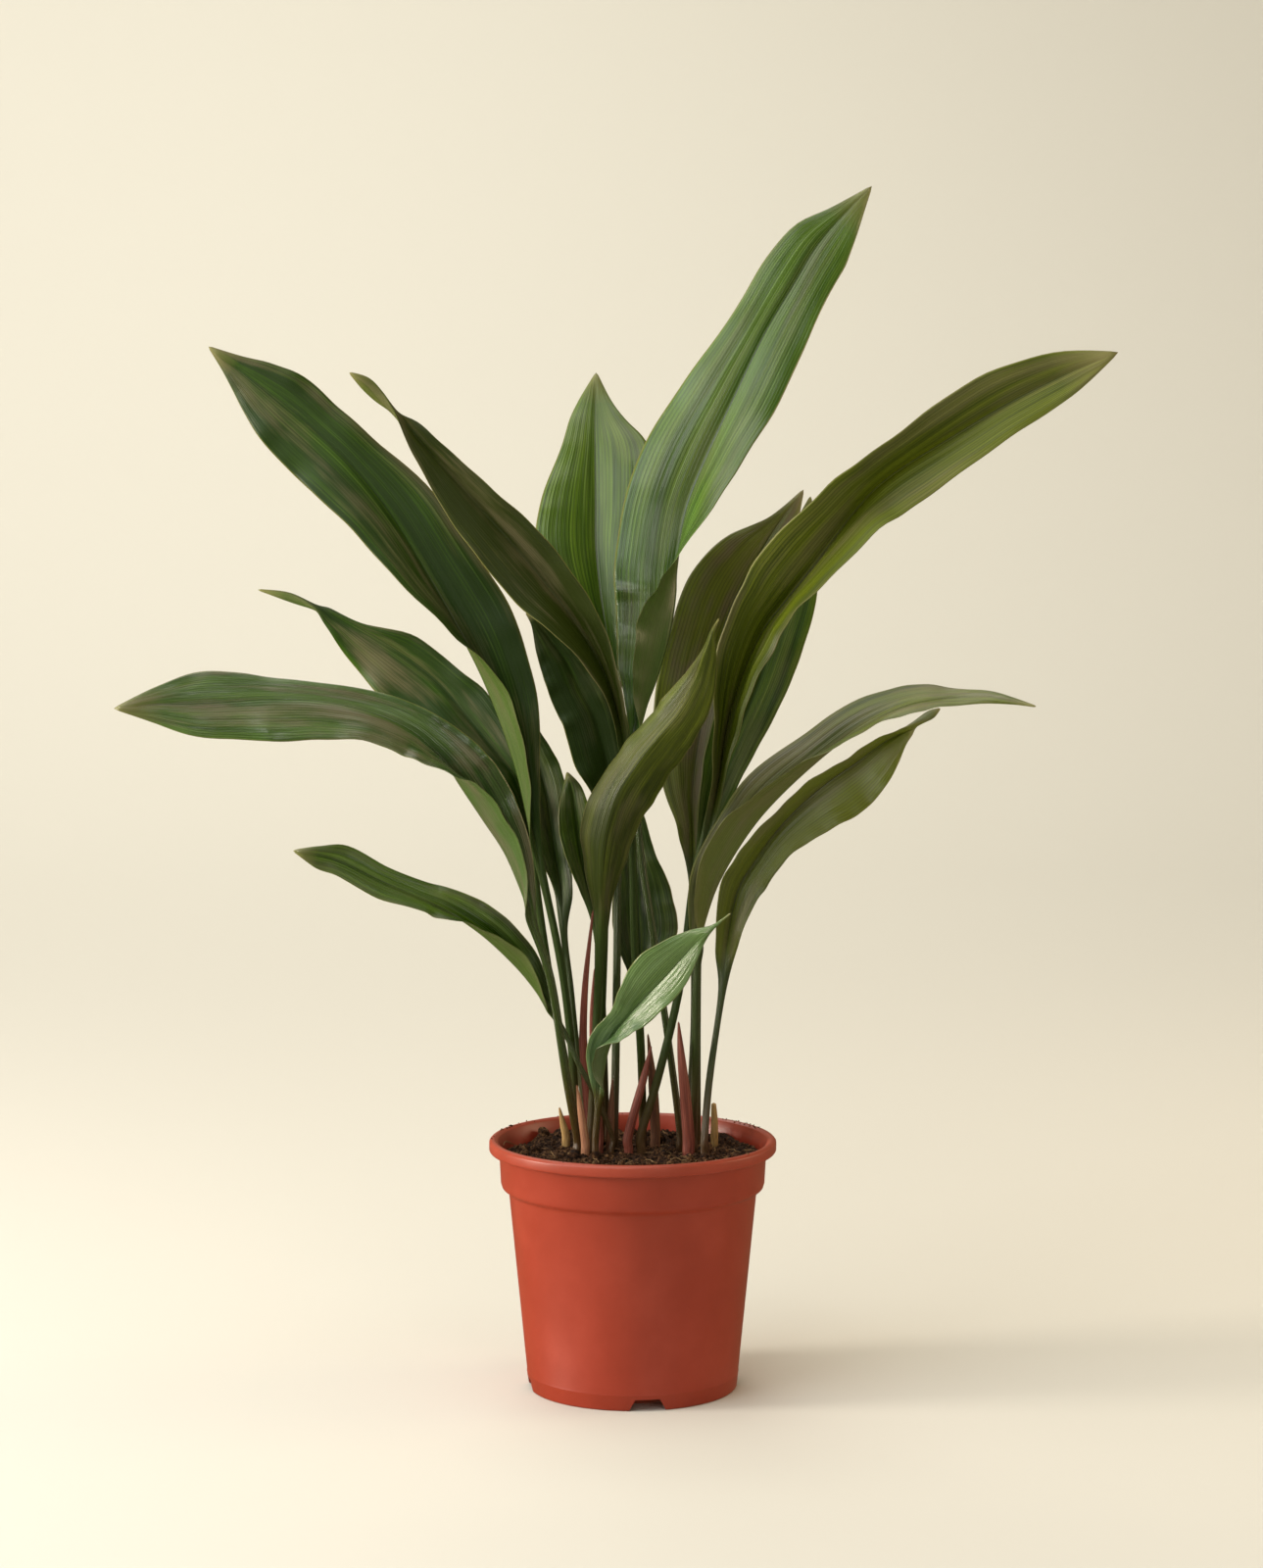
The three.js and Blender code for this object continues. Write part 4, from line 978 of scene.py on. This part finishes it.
LEAVES = {
    "leaf_left_high": [
        *foot(-33, 13, 2.4), [-37, 13, 207, 2.3, 0, 2.3, 0], [-43, 13, 253, 2.3, 0, 2.3, 0],
        [-54, 14, 306, 2.8, 20, 2.8, 20], [-62, 16, 338, 7, 105, 8, 20],
        [-68, 18, 364, 12, 125, 14, 12], [-77, 20, 392, 17, 130, 24, 12],
        [-89, 24, 421, 20, 112, 30, 8], [-102, 28, 446, 22, 84, 34, 5], [-122, 34, 481, 24, 50, 31, 0],
        [-144, 40, 517, 26, 30, 28, -8], [-168, 46, 547, 29, 12, 21, -18],
        [-190, 52, 567, 28, 8, 20, -18], [-207, 56, 581, 25, 8, 21, -14],
        [-224, 60, 594, 17, 5, 15, -10], [-239, 64, 605, 8, 0, 7, 0], [-254, 68, 616, 0.5, 0, 0.5, 0],
    ],
    "leaf_left_twisted": [
        *foot(6, 28, 2.4), [5, 20, 193, 2.3, 0, 2.3, 0], [1, 8, 266, 2.3, 0, 2.3, 0],
        [0, -4, 319, 2.3, 0, 2.3, 0], [-3, -12, 366, 3, 20, 3, 20], [-8, -15, 398, 7, 62, 8, 52],
        [-17, -18, 427, 13, 62, 13, 48], [-33, -20, 455, 19, 45, 17, 35],
        [-51, -22, 479, 22, 27, 18, 22], [-71, -24, 503, 22, 20, 17, 22],
        [-91, -26, 525, 18.5, 20, 14.5, 25], [-110, -28, 546, 12.5, 20, 10.5, 22],
        [-125, -30, 563, 7.5, 40, 7.5, 0], [-136, -32, 576, 4.5, 88, 4.5, -88],
        [-145, -33, 585, 4.5, 140, 4.5, -140], [-153, -34, 593, 4, 160, 4, -160],
        [-162, -35, 599, 0.5, 160, 0.5, -160],
    ],
    "leaf_centre_shaded": [
        *foot(-19, 31, 2.3), [-19, 26, 200, 2.3, 0, 2.3, 0], [-17, 21, 262, 2.3, 0, 2.3, 0],
        [-16, 17, 320, 2.6, 0, 2.6, 0], [-15, 15, 346, 7, 15, 5, 15], [-15.5, 14, 369, 18, 12, 9.5, 12],
        [-23, 14, 397, 19, 12, 12, 15], [-31, 15, 413, 18, 10, 13.5, 15],
        [-38.5, 16, 429, 16.5, 10, 9.5, 15], [-47, 17, 441, 12, 10, 7, 10],
        [-56.5, 18, 453, 4, 0, 3.5, 0], [-63, 19, 459, 0.5, 0, 0.5, 0],
    ],
    "leaf_back_upright": [
        *foot(-11, 20, 2.5), [-10, 24, 204, 2.4, 0, 2.4, 0], [-9, 32, 298, 2.3, 0, 2.3, 0],
        [-9, 44, 379, 2.4, 0, 2.4, 0], [-10, 52, 419, 5, 50, 5, 50], [-14.5, 58, 440, 15, 42, 14, 42],
        [-19, 66, 466, 29, 27, 24, 27], [-22, 76, 495, 37, 15, 30, 18],
        [-22.5, 88, 524, 33, 10, 34, 12], [-23, 102, 554, 21, 10, 33, 10],
        [-23, 116, 577.5, 13.5, 5, 14, 5], [-22.5, 130, 601.5, 0.5, 0, 0.5, 0],
    ],
    "leaf_right_tallest": [
        *foot(28, 15, 2.2), [23.5, 14, 188, 2.1, 0, 2.1, 0], [12, 14, 269, 2.1, 0, 2.1, 0],
        [4, 14, 323, 2.1, 0, 2.1, 0], [1.5, 16, 372, 2.6, 10, 2.6, 50], [7, 18, 401, 12, 5, 11, 120],
        [13, 20, 418, 23, 0, 20, 135], [19.5, 22, 439, 30, -5, 26, 138],
        [23, 25, 455, 33.5, -5, 28, 130], [25, 28, 470, 36, -5, 27, 115], [26, 31, 486, 37, -5, 27, 92],
        [31.5, 36, 519, 37, -8, 26, 60], [44, 44, 551, 37, -12, 26, 38], [61, 54, 587, 31, -12, 27, 22],
        [79, 64, 624, 23, -12, 26, 15], [97.5, 74, 655, 23, -10, 22, 12],
        [111, 82, 677, 18.5, -8, 21, 10], [126.5, 90, 695, 8, 0, 13, 5],
        [144.5, 98, 713, 0.5, 0, 0.5, 0],
    ],
    "leaf_right_long": [
        *foot(5, 4, 2.6), [15, 6, 184, 2.5, 0, 2.5, 0], [28, 8, 239, 2.4, 0, 2.4, 0],
        [36, 8, 301, 2.4, 0, 2.4, 0], [44, 6, 330, 4, 30, 4, 30], [50, 2, 359, 9, 66, 9, 68],
        [55, -4, 394, 17, 60, 16, 66], [63.5, -8, 423, 24, 47, 22, 68], [75, -12, 449, 28, 35, 24, 68],
        [88, -14, 466.5, 31, 28, 25, 72], [105.5, -18, 489, 33, 26, 26, 69],
        [129, -24, 521, 32, 45, 27, 52], [148, -28, 540, 29, 50, 26, 36],
        [179.5, -36, 560.5, 26, 38, 23, 30], [214, -44, 581.5, 23, 22, 18, 26],
        [245, -52, 597.5, 14.5, 12, 13, 15], [274, -60, 610, 0.5, 0, 0.5, 0],
    ],
    "leaf_right_behind": [
        *foot(34, 37, 2.3), [37, 40, 208, 2.3, 0, 2.3, 0], [37, 42, 261, 2.3, 0, 2.3, 0],
        [36, 42, 300, 3, 20, 3, 20], [36, 42, 326, 11, 38, 9, 30], [36, 44, 355, 21, 25, 17, 22],
        [40, 48, 384, 30, 15, 23, 18], [46, 54, 413, 32, 10, 26, 15], [52, 62, 439, 31, 8, 28, 15],
        [62, 72, 465.5, 31, 8, 27, 15], [75, 84, 489, 23, 8, 24, 15], [88, 96, 509, 7, 5, 14, 10],
        [104.5, 108, 530, 0.5, 0, 0.5, 0],
    ],
    "leaf_right_inner": [
        *foot(38.5, 24, 2.3), [38.5, 27, 208, 2.2, 0, 2.2, 0], [39, 29, 261, 2.2, 0, 2.2, 0],
        [40, 29, 300, 2.4, 0, 2.4, 0], [42.5, 28, 326, 5, 30, 5, 30], [50, 28, 355, 12, 30, 12, 25],
        [61, 29, 384, 17, 20, 15, 20], [73, 31, 413, 20, 15, 18, 15], [82, 34, 439, 21, 12, 19, 12],
        [91, 38, 465, 20, 10, 18, 10], [98, 42, 489, 15, 8, 13, 8], [103, 46, 510, 7, 5, 6, 5],
        [106, 50, 527, 0.5, 0, 0.5, 0],
    ],
    "leaf_front_pointed": [
        *foot(-25, 4, 2.5), [-23, 3, 187, 2.4, 0, 2.4, 0], [-20, -6, 246, 2.6, 0, 2.6, 0],
        [-18, -18, 282, 5.5, -30, 5.5, -35], [-18, -26, 305, 12, -40, 13, -35],
        [-16, -33, 329, 18, -32, 19, -32], [-9, -40, 355, 17, -35, 23, -30],
        [2.5, -46, 375, 16, -40, 23, -30], [15, -52, 391.5, 15, -38, 21, -30],
        [27, -58, 406, 14, -30, 17, -25], [37, -66, 424.5, 9, -20, 11, -20],
        [42, -74, 442, 3, -10, 5.5, -10], [45, -79, 453, 1.5, 0, 1.5, 0],
        [48.5, -84, 461, 0.5, 0, 0.5, 0],
    ],
    "leaf_left_small": [
        *foot(-12.5, 1, 1.6), [-24, -4, 179, 1.6, 0, 1.6, 0], [-32, -4, 194, 1.6, 0, 1.6, 0],
        [-39, -3, 210, 1.6, 0, 1.6, 0], [-46.5, -2, 223, 2.4, 40, 2.4, 20],
        [-53, -3, 232, 6, 105, 6, 18], [-65.5, -5, 249, 12, 132, 13.5, 8],
        [-83, -8, 267, 14, 122, 17, 6], [-98, -11, 279, 12, 98, 16, 5], [-112, -13, 288, 11, 65, 13, 0],
        [-124, -15, 294, 9, 45, 10, -8], [-146, -18, 304, 10.5, 25, 9, -10],
        [-169, -22, 316, 9, 20, 10, -10], [-183, -26, 321, 8, 5, 5, 0],
        [-197, -30, 323.5, 0.5, 0, 0.5, 0],
    ],
    "leaf_front_glossy": [
        *foot(-22, -9, 2.2), [-20, -11, 172, 2.6, 0, 2.6, 20], [-17.5, -14, 190, 9, 12, 9, 120],
        [-14.5, -18, 205, 13, 12, 13, 125], [-9, -23, 217, 12, 15, 13, 85],
        [-3, -29, 226, 11, 22, 12, 50], [5, -35, 236, 16, 18, 13, 30],
        [21, -45, 254.5, 20, 10, 12.5, 20], [37, -55, 274, 9, 5, 4.5, 5],
        [45.5, -62, 283, 1.5, 0, 1.5, 0], [56, -68, 292, 0.5, 0, 0.5, 0],
    ],
    "leaf_left_back": [
        *foot(-33, 31, 2.3), [-42, 32, 197, 2.3, 0, 2.3, 0], [-50.5, 36, 244, 2.3, 0, 2.3, 0],
        [-58.5, 40, 297, 2.8, 20, 2.8, 20], [-63, 42, 329, 9, 45, 6, 45],
        [-69, 44, 355, 20, 38, 10, 38], [-77.5, 48, 368.5, 26, 28, 15, 28],
        [-100, 60, 395, 28, 15, 20, 20], [-117.5, 68, 415, 30, 5, 15, 20],
        [-140.5, 76, 432, 28, 5, 14, 20], [-165, 84, 446, 19, 5, 4, 25], [-182, 90, 454, 9, 30, 3, 0],
        [-193, 94, 458.5, 4.5, 85, 4, -85], [-211, 99, 465, 3, 150, 3, -150],
        [-229.5, 104, 469, 0.5, 150, 0.5, -150],
    ],
    "leaf_left_level": [
        *foot(-33, -2, 2.6), [-39, -8, 186, 2.5, 0, 2.5, 0], [-48, -14, 245, 2.5, 0, 2.5, 0],
        [-58, -17, 277, 3, 30, 3, 20], [-64, -19, 296.5, 8, 110, 8, 12],
        [-74, -21, 321, 15, 132, 16, 8], [-86, -23, 340, 19, 132, 22, 6],
        [-99, -26, 360, 20, 118, 24, 5], [-106, -28, 371, 20, 95, 22, 3],
        [-117, -30, 384, 20, 62, 18, 0], [-129, -32, 394, 20, 50, 15, -5],
        [-150, -36, 404, 20, 38, 13, -15], [-178, -42, 411, 23, 25, 11, -20],
        [-205, -48, 413, 25, 15, 13, -20], [-227, -52, 412, 22, 8, 17, -15],
        [-249, -57, 411, 19, 5, 18, -10], [-271, -62, 411, 11.5, 0, 10, 0],
        [-294.5, -68, 409, 0.5, 0, 0.5, 0],
    ],
    "leaf_left_hidden": [
        *foot(-26, 24, 2.3), [-33, 29, 192, 2.2, 0, 2.2, 0], [-37.5, 35, 233, 2.2, 0, 2.2, 0],
        [-41.5, 43, 267, 2.4, 0, 2.4, 0], [-43, 50, 290, 5, 30, 8, 25], [-46, 55, 308, 10, 30, 9, 20],
        [-50, 61, 331, 15, 25, 12, 15], [-54, 66, 352, 17, 20, 14, 15], [-60, 70, 370, 15, 18, 12, 15],
        [-67, 74, 386, 9, 15, 8, 15], [-76, 78, 402, 0.5, 0, 0.5, 0],
    ],
    "leaf_centre_small": [
        *foot(-16.2, 41.7, 2.2), [-16.8, 39, 176, 2.1, 0, 2.1, 0], [-17.7, 35.5, 208, 2.1, 0, 2.1, 0],
        [-19, 32.5, 243, 2.1, 0, 2.1, 0], [-22, 30, 274, 3, 20, 3, 20], [-27, 30, 295, 6, 30, 8, 20],
        [-31, 31, 315, 10, 22, 10.5, 22], [-34, 32, 336, 11, 18, 10, 18],
        [-36.3, 34, 352.5, 6, 10, 6.5, 10], [-39.2, 36, 363.3, 0.5, 0, 0.5, 0],
    ],
    "leaf_centre_dark": [
        *foot(6, 44, 2.2), [5.5, 46, 189, 2.1, 0, 2.1, 0], [5, 50, 224, 2.6, 10, 2.6, 10],
        [5, 53, 244, 11, 28, 15, 22], [4, 57, 265, 17, 20, 24, 15], [2.5, 62, 288, 15, 15, 21, 15],
        [-0.5, 67, 311, 13, 12, 14, 12], [-4.5, 74, 340, 9, 10, 9, 10], [-8, 80, 362, 0.5, 0, 0.5, 0],
    ],
    "leaf_right_arched": [
        *foot(36, 8, 2.4), [37, 2, 184.5, 2.3, 0, 2.3, 0], [37.5, -6, 238, 2.3, 0, 2.3, 0],
        [38.5, -9, 260, 3, 15, 3, 40], [41.5, -12, 278, 9, 0, 9, 115], [50, -17, 304, 17, -5, 17, 145],
        [66, -22, 332, 19, -5, 20, 145], [83, -28, 353.5, 21, -8, 21, 125],
        [108, -37, 378, 17, -15, 19, 105], [131, -46, 396.5, 16, -25, 16, 88],
        [152, -56, 408.5, 13, -30, 13, 75], [168, -64, 413.5, 10, -35, 9, 60],
        [185, -72, 415.5, 6, -40, 6, 45], [200, -82, 416.5, 4, -30, 4, 30],
        [213.5, -92, 415, 2, 0, 2, 0], [225.5, -100, 412.5, 0.5, 0, 0.5, 0],
    ],
    "leaf_right_low": [
        *foot(42.5, -5, 2.3), [45.5, 1, 184.5, 2.1, 0, 2.1, 0], [53, 8, 236, 2.4, 0, 2.4, 0],
        [56, 11, 265, 9, 33, 8, 33], [62, 14, 294, 14, 38, 15, 32], [72, 16, 311, 15, 35, 16, 35],
        [85.5, 18, 330, 13, 45, 19, 33], [101, 21, 346, 13, 45, 24, 27], [117, 24, 359, 11, 48, 27, 23],
        [133.5, 28, 370, 10, 52, 24, 23], [149, 32, 381, 8, 55, 16, 28],
        [162.5, 36, 388, 5, 62, 5.5, 20], [170, 40, 392.5, 3.5, 90, 3.5, -90],
        [178, 43, 397, 3, 140, 3, -140], [184, 46, 400.5, 0.5, 160, 0.5, -160],
    ],
}
print("leaf rows:", sum(len(rows) for rows in LEAVES.values()))

# %% [markdown]
# Each leaf is made by the same function, with a seed of its own, and takes the place of its solid.
# LOOKS gives each leaf its finish, then its tone, pale wash, polish and taupe sheen strength. They
# were set and tuned against the photograph's tones.

# %% Leaves
LOOKS = {
    "leaf_left_high": ("fresh", (-0.12, 0.0, -0.8, 0.8)),
    "leaf_left_twisted": ("olive", (-0.18, 0.0, -0.6, 0.9)),
    # The inner leaves take the dark finish, whose darkness is painted shade.
    "leaf_centre_shaded": ("dark", (-0.18, 0.0, -1.0, 0.2)),
    "leaf_back_upright": ("fresh", (0.05, 0.0, 0.3, 0.2)),
    "leaf_right_tallest": ("bluish", (0.05, 0.0, 0.6, 0.4)),
    "leaf_right_long": ("olive", (0.07, 0.0, -0.5, 0.8)),
    "leaf_right_behind": ("olive", (0.16, 0.05, 0.2, 1.8)),
    "leaf_right_inner": ("dark", (0.04, 0.0, -1.0, 0.4)),
    "leaf_front_pointed": ("olive", (0.0, 0.0, -0.5, 0.5)),
    "leaf_left_small": ("fresh", (0.02, 0.0, 0.6, 0.5)),
    "leaf_front_glossy": ("bluish", (0.12, 0.6, 0.5, 0.0)),
    "leaf_left_back": ("fresh", (-0.14, 0.0, -1.0, 1.0)),
    "leaf_left_level": ("bluish", (0.02, 0.15, 1.0, 1.3)),
    "leaf_left_hidden": ("dark", (0.0, 0.0, -0.5, 0.5)),
    "leaf_centre_small": ("dark", (0.02, 0.0, -0.5, 0.5)),
    "leaf_centre_dark": ("dark", (-0.02, 0.0, -0.5, 0.3)),
    "leaf_right_arched": ("olive", (0.04, 0.0, 0.4, 0.9)),
    "leaf_right_low": ("olive", (0.24, 0.0, 0.5, 0.7)),
}


def plant_piece(name, rows, seed, material, slot, **grid_and_look):
    """Makes a skin with its finish, and puts it in the place of its solid."""
    obj = wrap_skin(name + "_skin", rows, seed, **grid_and_look)
    obj.data.materials.append(material)
    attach(obj, "root")
    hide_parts(name)


for number, (name, rows) in enumerate(LEAVES.items(), 1):
    finish, look = LOOKS[name]
    plant_piece(name, rows, number, LEAF_FINISHES[finish], "leaf_green", look=look)
print("leaves:", len(LEAVES))

# %% [markdown]
# The scales and the stubs of cut leaves are the same kind of skin, smaller and dry, so they are
# given by rows too. The red spear is a young leaf that is still rolled up.

# %% Rows of the scales and stubs
SHEATHS = {
    "red_spear": [
        *foot(-26, 14, 2.3), [-29, 15, 195, 2.6, 0, 2.6, 0], [-29.5, 16, 211, 2.3, 0, 2.3, 0],
        [-28, 17, 241, 1.8, 0, 1.8, 0], [-23.5, 18, 283, 0.5, 0, 0.5, 0],
    ],
    "red_scale_left": [
        *foot(-19.5, 11, 2), [-23, 11, 187, 2, 0, 2, 0], [-24, 8, 220, 1.6, 0, 1.6, 0],
        [-22.5, 4, 250, 0.5, 0, 0.5, 0],
    ],
    "pale_scale_left": [
        *foot(-28, -8, 2.6, 148), [-30.5, -7.5, 165, 2, 0, 2, 0], [-33, -7, 182, 0.5, 0, 0.5, 0],
    ],
    "brown_scale_centre": [
        *foot(-13.5, 13, 2.4, 146), [-13, 14, 160, 2.2, 0, 2.2, 0], [-12, 16, 182, 0.5, 0, 0.5, 0],
    ],
    "brown_scale_right": [
        *foot(13.5, 27, 3), [12, 24.5, 178, 2.7, 0, 2.7, 0], [9, 21.5, 208, 0.5, 0, 0.5, 0],
    ],
    "purple_scale_centre": [
        *foot(-2.5, 2, 2.8), [6.5, 4, 184, 2.2, 0, 2.2, 0], [11, 6, 203, 0.5, 0, 0.5, 0],
    ],
    "red_scale_right": [
        *foot(33, -3.5, 3.6), [31, -3.5, 175, 3.3, 0, 3.3, 0], [28.5, -3, 200, 2.2, 0, 2.2, 0],
        [27, -2, 219, 0.5, 0, 0.5, 0],
    ],
}

STUBS = {
    "dry_stub_left": [
        *foot(-40, 24, 2.5, 146), [-41.5, 24, 152, 2, 0, 2, 0], [-44, 24, 163, 0.5, 0, 0.5, 0],
    ],
    "dry_stub_right": [
        *foot(49, 28, 2.3, 146), [49, 28, 154, 2.1, 0, 2.1, 0], [48.5, 28, 165, 1.4, 0, 1.4, 0],
    ],
}
print("scales:", len(SHEATHS), "stubs:", len(STUBS))

# %% [markdown]
# A scale is small in the picture, so its skin needs fewer columns and rows than a leaf's. Their seeds
# go on after those of the leaves, so that each has a pattern of its own.

# %% Scales and stubs
SCALE_TONES = {
    "red_spear": "red", "red_scale_left": "red", "pale_scale_left": "pale", "brown_scale_centre": "brown",
    "brown_scale_right": "brown", "purple_scale_centre": "red", "red_scale_right": "red",
}
for number, (name, rows) in enumerate(SHEATHS.items(), 21):
    plant_piece(name, rows, number, SCALE_FINISHES[SCALE_TONES[name]], "scale_red", columns=40, lengths=60)
for number, (name, rows) in enumerate(STUBS.items(), 31):
    plant_piece(name, rows, number, SCALE_FINISHES["straw"], "dry_husk", columns=40, lengths=40)
print("scales and stubs made:", len(SHEATHS) + len(STUBS))

# %% [markdown]
# The rhizome lies in the soil and keeps its solid: only its finish is new.

# %% Rhizome
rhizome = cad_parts["rhizome"]
for material_slot in rhizome.material_slots:
    material_slot.material = bark
print("rhizome finish:", bark.name)
